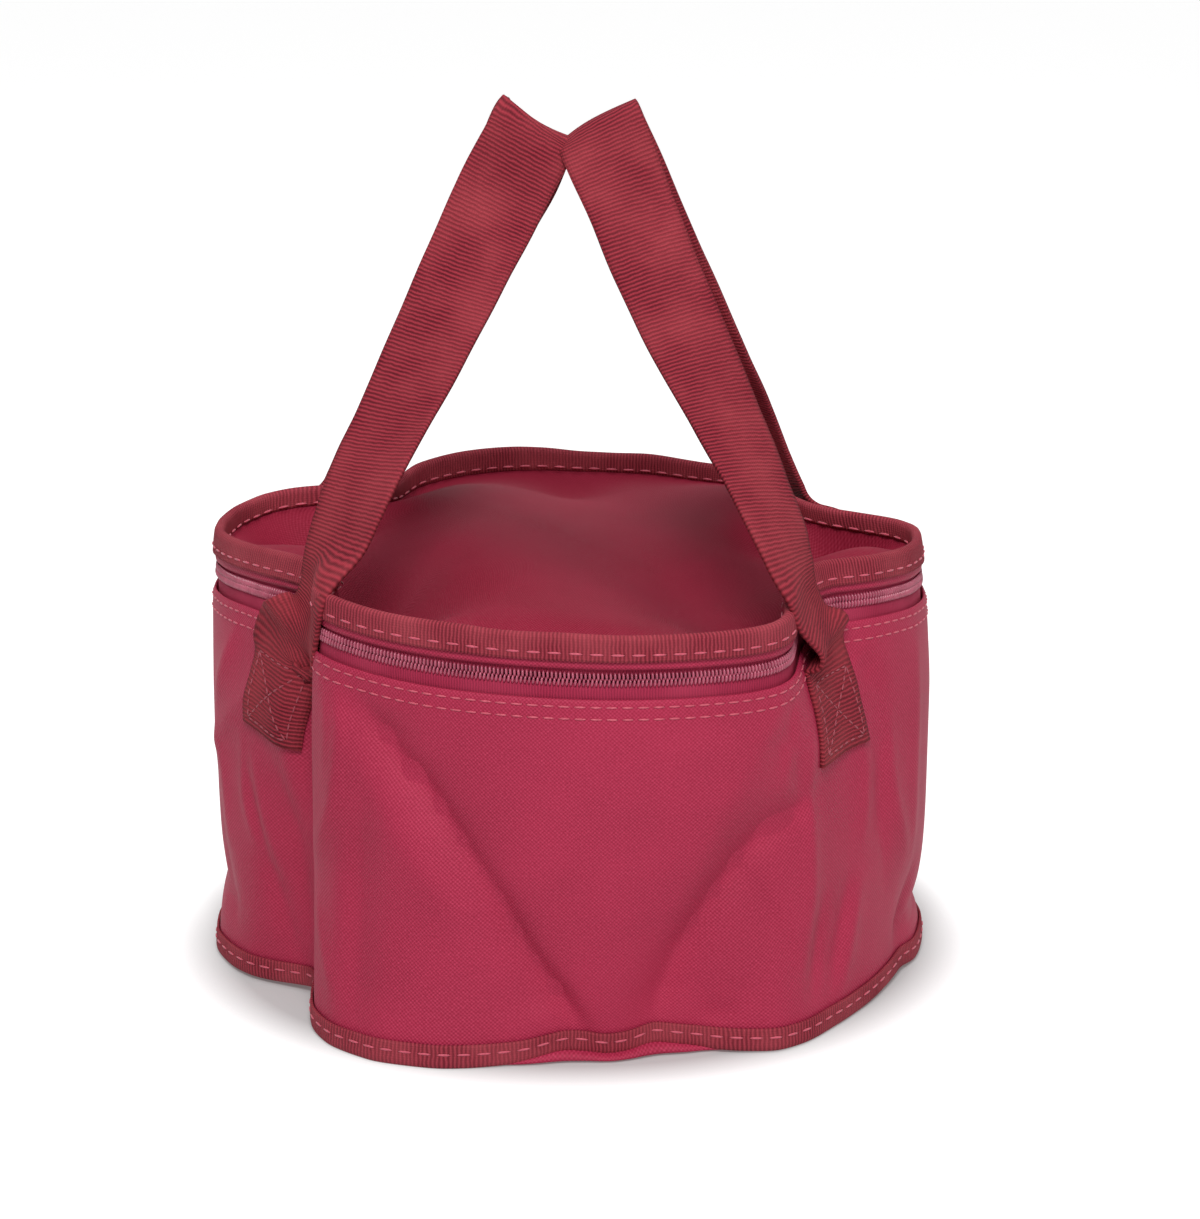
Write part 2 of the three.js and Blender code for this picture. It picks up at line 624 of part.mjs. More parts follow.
pull.quaternion.setFromRotationMatrix(new THREE.Matrix4().makeBasis(outwards, upwards, sideways));
pull.position.copy(pinAt);

export default bag;
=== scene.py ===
# %% [markdown]
# # A zipped carry bag for a round, flat pan, with two webbing handles
#
# The bag is soft: a tall strip of woven polyester sewn round a fabric bottom, with a zipped lid on
# top. The four ends of its two handles pull at its wall, so its outline is four lobes with a valley
# between each two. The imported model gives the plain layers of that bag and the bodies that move:
# the lid folds up, both handles swing outwards, the zipper's slider runs, and its pull flips.
# Everything that is seen here is made new around those bodies, because cloth needs folds, seams
# and a weave.

import math

import bmesh
import bpy
import numpy as np
from mathutils import Matrix, Vector


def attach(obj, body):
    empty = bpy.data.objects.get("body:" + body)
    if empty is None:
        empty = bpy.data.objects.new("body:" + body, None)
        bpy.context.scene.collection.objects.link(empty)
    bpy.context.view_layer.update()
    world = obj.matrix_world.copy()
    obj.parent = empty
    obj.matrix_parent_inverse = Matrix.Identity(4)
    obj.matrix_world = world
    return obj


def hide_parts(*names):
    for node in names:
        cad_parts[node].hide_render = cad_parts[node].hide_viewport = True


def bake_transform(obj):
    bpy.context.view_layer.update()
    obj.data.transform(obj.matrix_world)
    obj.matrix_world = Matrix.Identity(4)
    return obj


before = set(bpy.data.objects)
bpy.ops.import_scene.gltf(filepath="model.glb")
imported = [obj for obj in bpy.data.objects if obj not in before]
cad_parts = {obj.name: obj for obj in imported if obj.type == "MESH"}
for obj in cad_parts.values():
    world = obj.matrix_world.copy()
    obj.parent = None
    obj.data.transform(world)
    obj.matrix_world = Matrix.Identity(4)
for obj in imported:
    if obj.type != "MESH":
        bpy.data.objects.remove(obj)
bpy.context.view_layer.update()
scene = bpy.context.scene
MM = 0.001

# %% [markdown]
# ## The camera
#
# The bag was seen from a little above its rim and almost square on. Three numbers fix that view:
# how high the camera looks down from, how far it stands, and the lens. They were found by lining up
# the strap ends, the rim and the floor line, so nothing else has to be bent to fit the view.

# %% Camera
VIEW_DOWN = math.radians(15.57)
VIEW_ASIDE = math.radians(0.75)
VIEW_FROM = 1200 * MM
FRAME_ASIDE = 9.7 * MM
FRAME_UP = 27 * MM
AIM = Vector((0, 0, 90)) * MM
LENS_LONG = 102.5
FILM_WIDE = 36

aside = Vector((math.cos(VIEW_ASIDE), math.sin(VIEW_ASIDE), 0))
level = Vector((-math.sin(VIEW_ASIDE), math.cos(VIEW_ASIDE), 0))
ahead = level * math.cos(VIEW_DOWN) - Vector((0, 0, 1)) * math.sin(VIEW_DOWN)
upward = level * math.sin(VIEW_DOWN) + Vector((0, 0, 1)) * math.cos(VIEW_DOWN)
lens = bpy.data.cameras.new("camera")
lens.lens = LENS_LONG
lens.sensor_width = FILM_WIDE
camera = bpy.data.objects.new("camera", lens)
camera.location = AIM + aside * FRAME_ASIDE + upward * FRAME_UP - ahead * VIEW_FROM
camera.rotation_euler = ahead.to_track_quat("-Z", "Y").to_euler()
scene.collection.objects.link(camera)
scene.camera = camera
print("camera at", [round(v, 3) for v in camera.location])

# %% [markdown]
# ## The bag's outline
#
# Cloth hangs differently at every height, so one circle is not enough. The outline is written down
# as distances from the middle at a few heights, all the way round. A whole turn number is the
# middle of a lobe: 0 is the right one, 1 the back, 2 the left and 3 the front. Halves are near the
# valleys. The numbers between are filled in, then smoothed a little, as cloth would round them.

# %% Distances from the middle, in millimetres, at rising heights
PLAN = {
    0: ((0, 122), (0.15, 119), (0.3, 117), (0.42, 115), (0.5, 113), (0.58, 115), (0.7, 118),
        (0.85, 119.5), (1, 120), (1.15, 119.5), (1.3, 118), (1.42, 114), (1.5, 110), (1.58, 113),
        (1.7, 117), (1.85, 121), (2, 123), (2.11, 124), (2.2, 121), (2.256, 117.5), (2.333, 108.5),
        (2.385, 104), (2.43, 107), (2.476, 114.5), (2.533, 123.5), (2.6, 129.5), (2.69, 132.5),
        (2.8, 129.5), (2.94, 119), (3, 115), (3.08, 115), (3.17, 113), (3.245, 115.5), (3.3, 122),
        (3.36, 128), (3.42, 127), (3.5, 123), (3.58, 120.5), (3.7, 118.5), (3.8, 118), (3.86, 121)),
    50: ((0, 123), (0.15, 121.5), (0.3, 118), (0.42, 114), (0.5, 112), (0.58, 114), (0.7, 119),
         (0.85, 122.5), (1, 123.5), (1.15, 122.5), (1.3, 119.5), (1.42, 113.5), (1.5, 110.5),
         (1.58, 113), (1.7, 118.5), (1.85, 122.5), (2, 123.5), (2.1, 122.5), (2.2, 119),
         (2.3, 113.5), (2.36, 110), (2.4, 106), (2.43, 106), (2.47, 112.5), (2.53, 120),
         (2.6, 125), (2.7, 126), (2.85, 123), (3, 121), (3.15, 121), (3.3, 124.5), (3.38, 126),
         (3.45, 124), (3.53, 121), (3.6, 119), (3.7, 119), (3.8, 120.5), (3.9, 122.5)),
    95: ((0, 123.5), (0.12, 122), (0.22, 118), (0.32, 113.5), (0.4, 111.5), (0.48, 109),
         (0.52, 107.5), (0.56, 110), (0.64, 116), (0.76, 121), (0.88, 123), (1, 123.5),
         (1.15, 122), (1.28, 118.5), (1.38, 113), (1.45, 108), (1.5, 106), (1.54, 108.5),
         (1.6, 112), (1.68, 116), (1.78, 121), (1.9, 124), (2, 124), (2.12, 121), (2.22, 116.5),
         (2.31, 115), (2.39, 115), (2.42, 106), (2.445, 103.5), (2.47, 110), (2.5, 117),
         (2.55, 121), (2.65, 123.5), (2.8, 124.5), (3, 124.5), (3.15, 125), (3.3, 125.5),
         (3.38, 124.8), (3.43, 123), (3.48, 119.6), (3.53, 115.8), (3.58, 113), (3.65, 112),
         (3.72, 114.8), (3.82, 119.5), (3.92, 122.5)),
    124: ((0, 121.5), (0.06, 122), (0.12, 119), (0.18, 113), (0.24, 106.5), (0.3, 102),
          (0.38, 100), (0.45, 101.5), (0.52, 107.5), (0.6, 113), (0.705, 116.5), (0.83, 120.6),
          (0.95, 122.6), (1.06, 122.6), (1.155, 120.9), (1.24, 118.5), (1.31, 115.5),
          (1.37, 112.4), (1.42, 109), (1.48, 103.5), (1.52, 100), (1.568, 99), (1.62, 103.5),
          (1.665, 110), (1.7, 116), (1.75, 121), (1.84, 124), (1.92, 124.5), (2, 123.5),
          (2.08, 120), (2.196, 114), (2.31, 109.5), (2.4, 107), (2.45, 102), (2.475, 108),
          (2.5, 115.5), (2.53, 119.5), (2.59, 121.5), (2.674, 122), (2.78, 123), (2.884, 124.5),
          (2.985, 125.5), (3.08, 126.5), (3.2, 127), (3.29, 126.5), (3.364, 125), (3.41, 121.5),
          (3.45, 115), (3.49, 109), (3.54, 105.5), (3.6, 104.5), (3.64, 105), (3.74, 112.5),
          (3.857, 118.5), (3.94, 121)),
    145: ((0, 118), (0.06, 118.5), (0.12, 114), (0.18, 105), (0.24, 97), (0.3, 93), (0.38, 91.5),
          (0.45, 94), (0.52, 102), (0.6, 110), (0.705, 116), (0.83, 120), (0.95, 122), (1.06, 122),
          (1.155, 120.5), (1.24, 117.5), (1.31, 113), (1.37, 109), (1.42, 103), (1.48, 96),
          (1.52, 92.5), (1.568, 91.5), (1.62, 97), (1.665, 107), (1.7, 114), (1.75, 120),
          (1.84, 122.5), (1.92, 122.5), (2, 121), (2.08, 116.5), (2.196, 109.5), (2.31, 102.5),
          (2.4, 99), (2.45, 98), (2.475, 105), (2.5, 113.5), (2.53, 118), (2.59, 120),
          (2.674, 120.5), (2.78, 121), (2.884, 122.5), (2.985, 124), (3.08, 125.5), (3.2, 126),
          (3.29, 125.5), (3.364, 123.5), (3.41, 118.5), (3.45, 110), (3.49, 103), (3.54, 99.5),
          (3.6, 98.5), (3.64, 99.5), (3.74, 109), (3.857, 115), (3.94, 117.5)),
}
print("the outline is written down at", list(PLAN), "mm")

# %% Fill in the outline between those places
ROUND = 4
SAMPLES = 1600
TALL = 160
QUARTER_LONG = 187
turn_steps = np.arange(SAMPLES) * ROUND / SAMPLES
height_steps = np.arange(TALL + 1)


def round_the_bag(pairs):
    """Fills in a closed row of values between the given turns."""
    turns, values = zip(*pairs)
    return np.interp(turn_steps, turns, values, period=ROUND)


def soften_round(rows, reach):
    """Evens rows out over a few millimetres, as cloth can't bend more sharply than that."""
    sigma = reach / QUARTER_LONG * SAMPLES / ROUND
    away = np.minimum(np.arange(SAMPLES), SAMPLES - np.arange(SAMPLES))
    bell = np.exp(-0.5 * (away / sigma) ** 2)
    spread = np.fft.rfft(bell / bell.sum())
    return np.fft.irfft(np.fft.rfft(rows, axis=-1) * spread, SAMPLES, axis=-1)


def soften_up(rows, reach):
    """The same, but up the wall."""
    offsets = np.arange(-3 * reach, 3 * reach + 1)
    bell = np.exp(-0.5 * (offsets / reach) ** 2)
    padded = np.pad(rows, ((3 * reach, 3 * reach), (0, 0)), mode="edge")
    return sum(w * padded[k:k + len(rows)] for k, w in enumerate(bell / bell.sum()))


known = np.array([round_the_bag(pairs) for pairs in PLAN.values()])
filled = np.array([np.interp(height_steps, list(PLAN), column) for column in known.T]).T
SOFT_ROUND, SOFT_UP = 2.4, 5
radius_map = soften_up(soften_round(filled, SOFT_ROUND), SOFT_UP)
print("outline from", round(radius_map.min(), 1), "to", round(radius_map.max(), 1), "mm")

# %% [markdown]
# ## Folds in the wall
#
# An empty bag doesn't stand smooth. The front has two long diagonal folds that run together near
# the floor, with a flatter field between them, and small ridges hang below the strap ends. Each
# fold is a line on the wall with a depth and its own reach on either side: a short reach gives the
# edge where the cloth tucks in, a long one gives the soft slope behind it. Adding them to the
# outline's distances keeps every layer of the bag in step with the wall.

# %% Folds, as lines of (turn, height) with what they do on their two sides
# Each row gives the line, how far it moves the wall outwards, how far that reaches on its left and
# on its right when walking along it, and how round its bottom or crest is, all in millimetres.
FOLDS = (
    # the left front fold: a narrow valley, with a crest beside it on its lower left
    (((2.65, 114), (2.69, 105), (2.715, 98.5), (2.757, 92.5), (2.78, 87.5), (2.837, 72.5),
      (2.885, 58.5), (2.92, 46)), -4.2, 4.6, 5, 1.3),
    (((2.67, 112), (2.74, 96), (2.8, 80)), -2.6, 11, 9, 2.5),
    (((2.64, 100), (2.69, 84), (2.76, 66), (2.83, 48), (2.87, 32)), 2.6, 10, 13, 3.5),
    # its lower end, where a flat field stands over a tucked facet
    (((2.89, 56), (2.912, 48), (2.957, 33.5), (3.0, 20.5), (3.045, 4)), -6.2, 5.5, 12, 1.0),
    (((2.92, 52), (2.975, 35), (3.02, 22), (3.065, 6)), 2.6, 13, 3, 1.5),
    (((2.955, 20), (2.975, 10), (2.98, 4)), 2.6, 6, 6, 1.5),
    # the right front fold: a wide valley, with a soft field on either side of it
    (((3.455, 81), (3.41, 78), (3.375, 76), (3.322, 69), (3.29, 61.5), (3.257, 52.5), (3.227, 43),
      (3.202, 33), (3.177, 19), (3.165, 4)), -10, 14, 12, 1.5),
    (((3.44, 74), (3.36, 66), (3.31, 54), (3.27, 42), (3.235, 28), (3.21, 12)), 1.5, 12, 8, 3),
    (((3.36, 120), (3.335, 110), (3.3, 99), (3.27, 87), (3.235, 70), (3.2, 54), (3.17, 40)),
     3.8, 13, 16, 4),
    (((3.4, 104), (3.39, 94), (3.4, 86)), 2.6, 5, 5, 1.5),
    (((3.427, 121), (3.392, 111.5), (3.412, 96.5), (3.442, 82)), -2.6, 3, 4, 0.9),
    (((3.36, 110), (3.375, 98), (3.41, 88)), -2.0, 4, 4, 1),
    (((3.327, 59), (3.357, 47), (3.382, 36), (3.405, 29)), -2.2, 2.2, 5, 0.7),
    (((3.25, 16), (3.275, 12), (3.3, 17)), -2.4, 5, 5, 1.5),
    # the edge of the front lobe towards the right strap
    (((3.465, 108), (3.457, 87), (3.449, 67.5), (3.443, 48), (3.435, 30)), 2.6, 2.5, 5, 0.8),
    (((3.478, 46), (3.462, 30), (3.448, 15)), -3.2, 4, 3, 0.9),
    # the edge of the front lobe towards the left strap
    (((2.585, 119), (2.605, 107), (2.602, 95.5), (2.587, 81.5), (2.56, 71), (2.53, 62)),
     3.0, 4, 4, 0.8),
    (((2.56, 119), (2.57, 102), (2.565, 86)), 1.3, 2.2, 2.2, 0.7),
    (((2.66, 88), (2.645, 70), (2.64, 48), (2.645, 26), (2.65, 12)), -3.0, 11, 4, 2),
    (((2.53, 44), (2.56, 31), (2.59, 18)), 1.6, 3, 3, 0.8),
    # the left lobe
    (((2.347, 78), (2.37, 59), (2.375, 41.5), (2.39, 22)), -3.4, 4, 7, 1.2),
    (((2.25, 74), (2.262, 66), (2.282, 51.5), (2.307, 36.5), (2.325, 26), (2.345, 14)),
     -2.6, 4, 2.6, 0.8),
    (((2.27, 80), (2.3, 60), (2.33, 42)), 2.6, 5, 4, 1.4),
    (((2.232, 84), (2.24, 66), (2.262, 54), (2.29, 46)), 2.2, 3, 3, 0.8),
    (((2.12, 82), (2.155, 64), (2.165, 46)), 2.0, 4, 4, 1),
    (((2.18, 121), (2.165, 111), (2.137, 100), (2.115, 93)), 2.4, 4, 5, 0.9),
    (((2.3, 103), (2.24, 95), (2.182, 87), (2.11, 76)), 2.8, 4, 8, 1.2),
    (((2.06, 60), (2.11, 40), (2.17, 24), (2.2, 12)), -2.0, 6, 7, 1.5),
    # the right lobe
    (((3.6, 106), (3.617, 99), (3.645, 88.5), (3.65, 76.5), (3.625, 60)), 2.4, 5, 5, 1),
    (((3.737, 92), (3.737, 69), (3.782, 44)), 2.0, 4, 4, 1),
    (((3.7, 84), (3.69, 64), (3.7, 44)), -1.8, 4, 5, 1),
    (((3.855, 112), (3.842, 94), (3.827, 74.5), (3.815, 42)), 1.8, 4, 5, 1.2),
    (((3.61, 121), (3.64, 117.5), (3.68, 112), (3.71, 106)), -3.0, 4, 6, 1.2),
    (((3.63, 104), (3.68, 114), (3.73, 120)), 1.6, 4, 5, 1.2),
    (((3.56, 48), (3.53, 30), (3.5, 12)), -2.4, 3, 5, 1),
    (((3.6, 44), (3.56, 26), (3.54, 12)), 1.8, 4, 4, 1),
    (((3.84, 34), (3.815, 22), (3.77, 12)), -3.0, 5, 5, 1.2),
    # where the side lobes' lower edge flares out over the floor
    (((3.82, 15), (3.92, 17), (4.03, 19), (4.12, 20)), -5.0, 7, 6, 1.5),
    (((1.93, 26), (2.04, 27), (2.16, 23)), -3.2, 8, 8, 1.5),
    # the back and the rear of both side lobes, softer
    (((0.72, 96), (0.82, 70), (0.94, 40), (1.02, 14)), -5, 7, 15, 2.2),
    (((1.36, 98), (1.26, 74), (1.16, 46), (1.1, 20)), -4.5, 14, 7, 2.2),
    (((0.9, 100), (0.98, 76), (1.04, 52)), 2.5, 12, 12, 2.2),
    (((0.16, 96), (0.2, 66), (0.26, 34)), 2.4, 8, 8, 2.2),
    (((0.3, 84), (0.33, 58), (0.38, 30)), -2.4, 8, 7, 2.2),
    (((1.82, 98), (1.78, 66), (1.72, 34)), 2.4, 8, 8, 2.2),
    (((1.68, 84), (1.66, 58), (1.62, 30)), -2.4, 7, 8, 2.2),
)
print(len(FOLDS), "folds are written down")


# %% Smooth lines through given places
def walked_along(points):
    """How far each of a row of points lies from the first, measured along the row."""
    return np.concatenate([[0], np.cumsum(np.linalg.norm(np.diff(points, axis=0), axis=1))])


def smooth_curve(places, between):
    """A smooth line through given places, with this many points on each stretch."""
    places = np.array(places, float)
    padded = np.vstack([2 * places[0] - places[1], places, 2 * places[-1] - places[-2]])
    t = np.arange(between)[:, None] / between
    rows = []
    for a, b, c, d in zip(padded, padded[1:], padded[2:], padded[3:]):
        rows.append(0.5 * (2 * b + (c - a) * t + (2 * a - 5 * b + 4 * c - d) * t ** 2
                           + (3 * b - a - 3 * c + d) * t ** 3))
    return np.vstack([*rows, places[-1:]])


first_fold = smooth_curve(FOLDS[0][0], 4) * (QUARTER_LONG, 1)
print("the first fold is", round(walked_along(first_fold)[-1]), "mm long")

# %% What the folds do to the wall
FOLD_WINDOW = 0.35
FOLD_ENDS = 0.1


def fold_field(line, depth, left, right, rounding):
    """How far one fold moves the wall outwards, everywhere on the wall."""
    curve = smooth_curve(line, 4)
    first = curve[0, 0]
    along = (turn_steps - first + ROUND / 2) % ROUND - ROUND / 2 + first
    near = (along > curve[:, 0].min() - FOLD_WINDOW) & (along < curve[:, 0].max() + FOLD_WINDOW)
    across = along[None, near] * QUARTER_LONG
    up = height_steps[:, None] + 0 * across
    points = curve * (QUARTER_LONG, 1)
    walked = walked_along(points)
    nearest = np.full(up.shape, 1e9)
    side = np.zeros(up.shape)
    share = np.zeros(up.shape)
    for k, (start, end) in enumerate(zip(points, points[1:])):
        way = end - start
        t = ((across - start[0]) * way[0] + (up - start[1]) * way[1]) / (way @ way)
        held = np.clip(t, 0, 1)
        off_a = across - start[0] - held * way[0]
        off_u = up - start[1] - held * way[1]
        gap = np.hypot(off_a, off_u)
        closer = gap < nearest
        nearest = np.where(closer, gap, nearest)
        side = np.where(closer, np.sign(way[0] * off_u - way[1] * off_a), side)
        here = walked[k] + held * (walked[k + 1] - walked[k])
        share = np.where(closer, here / walked[-1], share)
    reach = np.where(side > 0, left, right)
    swell = np.sin(np.pi * (FOLD_ENDS + (1 - 2 * FOLD_ENDS) * share)) ** 0.7
    rounded = np.sqrt(nearest ** 2 + rounding ** 2) - rounding
    moved = np.zeros((TALL + 1, SAMPLES))
    moved[:, near] = depth * swell * np.exp(-rounded / reach)
    return moved


creases = sum(fold_field(*fold) for fold in FOLDS)
# folds are held back where the wall is sewn, at the hem and at its turned top edge
held_back = np.interp(height_steps, (0, 6, 22, 108, 121, 124), (0.35, 0.6, 1, 1, 0.15, 0))
creases *= held_back[:, None]
radius_map += soften_up(soften_round(creases, 1.5), 1)
print("folds move the wall by", round(creases.min(), 1), "to", round(creases.max(), 1), "mm")

# %% [markdown]
# ## Lifts and droops
#
# The straps pull the rim up where they cross it, and the lid droops a little between them. The
# lower edge isn't quite flat either: the empty bag lifts its hem where the front folds end. These
# are rows of heights round the bag, each faded out away from its own edge.

# %% Lifts, in millimetres
TOP_LIFT = ((0, 0.5), (0.1, 0.2), (0.2, 0), (0.3, 0.3), (0.42, 2), (0.55, 2), (0.66, 1),
            (0.75, 0), (1, 0), (1.4, 0), (1.47, 0.2), (1.53, 2), (1.6, 4), (1.68, 3.5),
            (1.76, 1.9), (1.9, 1.2), (2, 1.2), (2.08, 2.2), (2.2, 4), (2.31, 5), (2.45, 5),
            (2.5, 4.6), (2.59, 3), (2.674, 1.5), (2.78, 0.5), (2.9, 0.2), (3.05, -0.6),
            (3.2, -1.4), (3.34, -2.4), (3.42, -1.5), (3.48, 2), (3.54, 4.5), (3.62, 5), (3.74, 4),
            (3.857, 2))
HEM_LIFT = ((0, 0), (0.3, 1.2), (0.5, 0.3), (0.9, 0.2), (1.05, 1.4), (1.2, 0.2), (1.5, 0.8),
            (1.7, 0), (2.1, 0.2), (2.3, 1.2), (2.4, 2.6), (2.47, 0.8), (2.55, 0), (2.85, 0),
            (2.93, 0.6), (2.99, 3.4), (3.03, 2.6), (3.07, 1.2), (3.12, 1.8), (3.155, 3.8),
            (3.2, 2.6), (3.27, 0.8), (3.45, 0.1), (3.6, 0.1), (3.72, 0.8), (3.8, 1.4), (3.86, 0.4))
RIM_LIFT = ((0.6, 0), (0.72, -0.4), (0.8, 0.2), (0.86, 0.9), (0.93, 0.3), (1.0, 0.7), (1.06, 2.2),
            (1.12, 3.2), (1.2, 3.5), (1.28, 3.3), (1.36, 2.6), (1.46, 0), (2.7, 0), (2.82, 0.5),
            (2.9, -0.3), (3.0, 0.3), (3.1, -0.2), (3.3, 0), (3.6, 0))
TOP_FROM, TOP_TO = 66, 124
RIM_FROM, RIM_TO = 133, 145
HEM_FADE = 26
top_lift = soften_round(round_the_bag(TOP_LIFT), 5)
hem_lift = soften_round(round_the_bag(HEM_LIFT), 2.2)
rim_lift = soften_round(round_the_bag(RIM_LIFT), 3)
print("the straps lift the rim by up to", round(top_lift.max(), 1), "mm")


# %% Any place on the bag, from its turn and height
def smooth(value, low, high):
    """0 below low, 1 above high, and an even change between."""
    share = np.clip((np.asarray(value, float) - low) / (high - low), 0, 1)
    return share * share * (3 - 2 * share)


def wall_radius(turn, height):
    """The wall's distance from the bag's middle, read between the written rows."""
    column = np.mod(turn, ROUND) / ROUND * SAMPLES
    row = np.clip(height, 0, TALL - 1e-6)
    left = np.floor(column).astype(int) % SAMPLES
    low = np.floor(row).astype(int)
    across, up = column - np.floor(column), row - low
    right = (left + 1) % SAMPLES
    below = radius_map[low, left] * (1 - across) + radius_map[low, right] * across
    above = radius_map[low + 1, left] * (1 - across) + radius_map[low + 1, right] * across
    return below * (1 - up) + above * up


def wall_slope(turn, height):
    """The wall's distance, and how fast it changes round the bag."""
    step = 0.004
    change = wall_radius(turn + step, height) - wall_radius(turn - step, height)
    return wall_radius(turn, height), change / (step * math.pi)


def read_round(row, turn):
    """The value of a closed row at any turn."""
    column = np.mod(turn, ROUND) / ROUND * SAMPLES
    return np.interp(column, np.arange(SAMPLES + 1), np.append(row, row[0]))


def lift_at(turn, height):
    """How far a place on the bag is lifted, in millimetres."""
    return (read_round(top_lift, turn) * smooth(height, TOP_FROM, TOP_TO)
            + read_round(hem_lift, turn) * (1 - smooth(height, 0, HEM_FADE))
            + read_round(rim_lift, turn) * smooth(height, RIM_FROM, RIM_TO))


def on_wall(turn, height, layer=0.0):
    """A place on the bag, in millimetres. The layer is how far it lies outside the wall's face."""
    given = (np.asarray(value, float) for value in (turn, height, layer))
    turn, height, layer = np.broadcast_arrays(*given)
    angle = turn * math.pi / 2
    radius, slope = wall_slope(turn, height)
    out = np.stack([np.cos(angle), np.sin(angle)])
    along = np.stack([-np.sin(angle), np.cos(angle)])
    normal = (out * radius - along * slope) / np.hypot(radius, slope)
    flat = out * radius + normal * layer
    return np.stack([flat[0], flat[1], height + lift_at(turn, height)], axis=-1)


def wall_long(height):
    """The length round the wall at one height."""
    return float(walked_along(on_wall(np.linspace(0, ROUND, SAMPLES + 1), height))[-1])


print("round the zipper:", round(wall_long(124)), "mm")
print("round the floor:", round(wall_long(0)), "mm")

# %% [markdown]
# ## One way to make every strip of cloth
#
# The wall, the lid, the tapes and the straps are all strips. Blender's grid operator makes a flat
# strip, and each of its points is then carried to its place on the bag. The strip keeps a second,
# flat set of coordinates in millimetres (a UV map), which is how the weave and the ribs know which
# way the threads run, however the strip is folded. Solidify gives it the cloth's own thickness.

# %% A mesh becomes a piece
pieces = {}


def finish_piece(bm, name, material=None):
    """Turns a bmesh into a smooth-shaded object in the scene."""
    mesh = bpy.data.meshes.new(name)
    bm.to_mesh(mesh)
    bm.free()
    piece = bpy.data.objects.new(name, mesh)
    scene.collection.objects.link(piece)
    for polygon in mesh.polygons:
        polygon.use_smooth = True
    if material:
        mesh.materials.append(material)
    pieces[name] = piece
    return piece


# %% A flat strip, carried to its place
def even_lines(count):
    """Shares from 0 to 1 with this many equal steps."""
    return np.linspace(0, 1, count + 1)


def cloth_strip(name, columns, rows, place, long, high, thick=0.0, offset=-1.0, turned=False):
    """A grid carried by place(across, up) to millimetres; columns and rows run from 0 to 1."""
    bm = bmesh.new()
    bm.loops.layers.uv.new("cloth")
    bmesh.ops.create_grid(bm, x_segments=len(columns) - 1, y_segments=len(rows) - 1, size=0.5,
                          calc_uvs=True)

    def to_shares(flat):
        cell = np.rint(flat * (len(columns) - 1, len(rows) - 1)).astype(int)
        return np.stack([columns[cell[:, 0]], rows[cell[:, 1]]], axis=1)

    shares = to_shares(np.array([vert.co[:2] for vert in bm.verts]) + 0.5)
    for vert, spot in zip(bm.verts, place(shares[:, 0], shares[:, 1]) * MM):
        vert.co = spot
    bmesh.ops.remove_doubles(bm, verts=bm.verts, dist=1e-6)
    if turned:
        bmesh.ops.reverse_faces(bm, faces=bm.faces)
    piece = finish_piece(bm, name)
    layer = piece.data.uv_layers["cloth"].data
    spots = np.zeros(len(layer) * 2, np.float32)
    layer.foreach_get("uv", spots)
    spots = (to_shares(spots.reshape(-1, 2)) * (long, high)).astype(np.float32)
    layer.foreach_set("uv", spots.ravel())
    if thick:
        wall = piece.modifiers.new("cloth thickness", "SOLIDIFY")
        wall.thickness = thick * MM
        wall.offset = offset
        wall.use_even_offset = False
    return piece


# %% Strips that run round the bag
def along_path(path, share):
    """Points a share of the way along a path of (layer, height) corners, and its length."""
    path = np.array(path, float)
    walked = walked_along(path)
    at = share * walked[-1]
    return np.interp(at, walked, path[:, 0]), np.interp(at, walked, path[:, 1]), walked[-1]


# the front half, which shows most of the folds, gets more columns than the back
crowding = 1 + 1.1 * smooth(turn_steps, 2.0, 2.15) * (1 - smooth(turn_steps, 3.8, 3.95))
crowded = np.concatenate([[0], np.cumsum(crowding)]) / crowding.sum()
print("the front half gets", round(100 * (1 - crowded[SAMPLES // 2])), "% of the columns")


def columns_round(count, start=0.0, end=float(ROUND)):
    """Columns between two turns, closer together at the front."""
    turns = np.concatenate([turn_steps, [ROUND]])
    laps = np.concatenate([turns, turns[1:] + ROUND])
    walked = np.concatenate([crowded, crowded[1:] + 1])
    ends = np.interp((start, end), laps, walked)
    return (np.interp(np.linspace(*ends, count + 1), walked, laps) - start) / (end - start)


def round_strip(name, path, columns, rows, thick, start=0.0, end=float(ROUND)):
    """A strip round the bag, or along part of it, with a path of (layer, height) as its section."""
    high = along_path(path, 0.0)[2]
    long = wall_long(path[0][1]) * (end - start) / ROUND

    def place(across, up):
        layer, height, _ = along_path(path, up)
        return on_wall(start + across * (end - start), height, layer)

    return cloth_strip(name, columns_round(columns, start, end), rows, place, long, high, thick)


# %% [markdown]
# ## The wall
#
# The wall is one strip of woven polyester about 125 mm tall. Its top edge is turned inwards and
# sewn down, which leaves a rounded lip just below the zipper. Its lower edge disappears into the
# binding on the floor. The folds need fine rows on the outside only, so the section is drawn as one
# closed line, with few rows on the inner face, in place of a Solidify modifier.

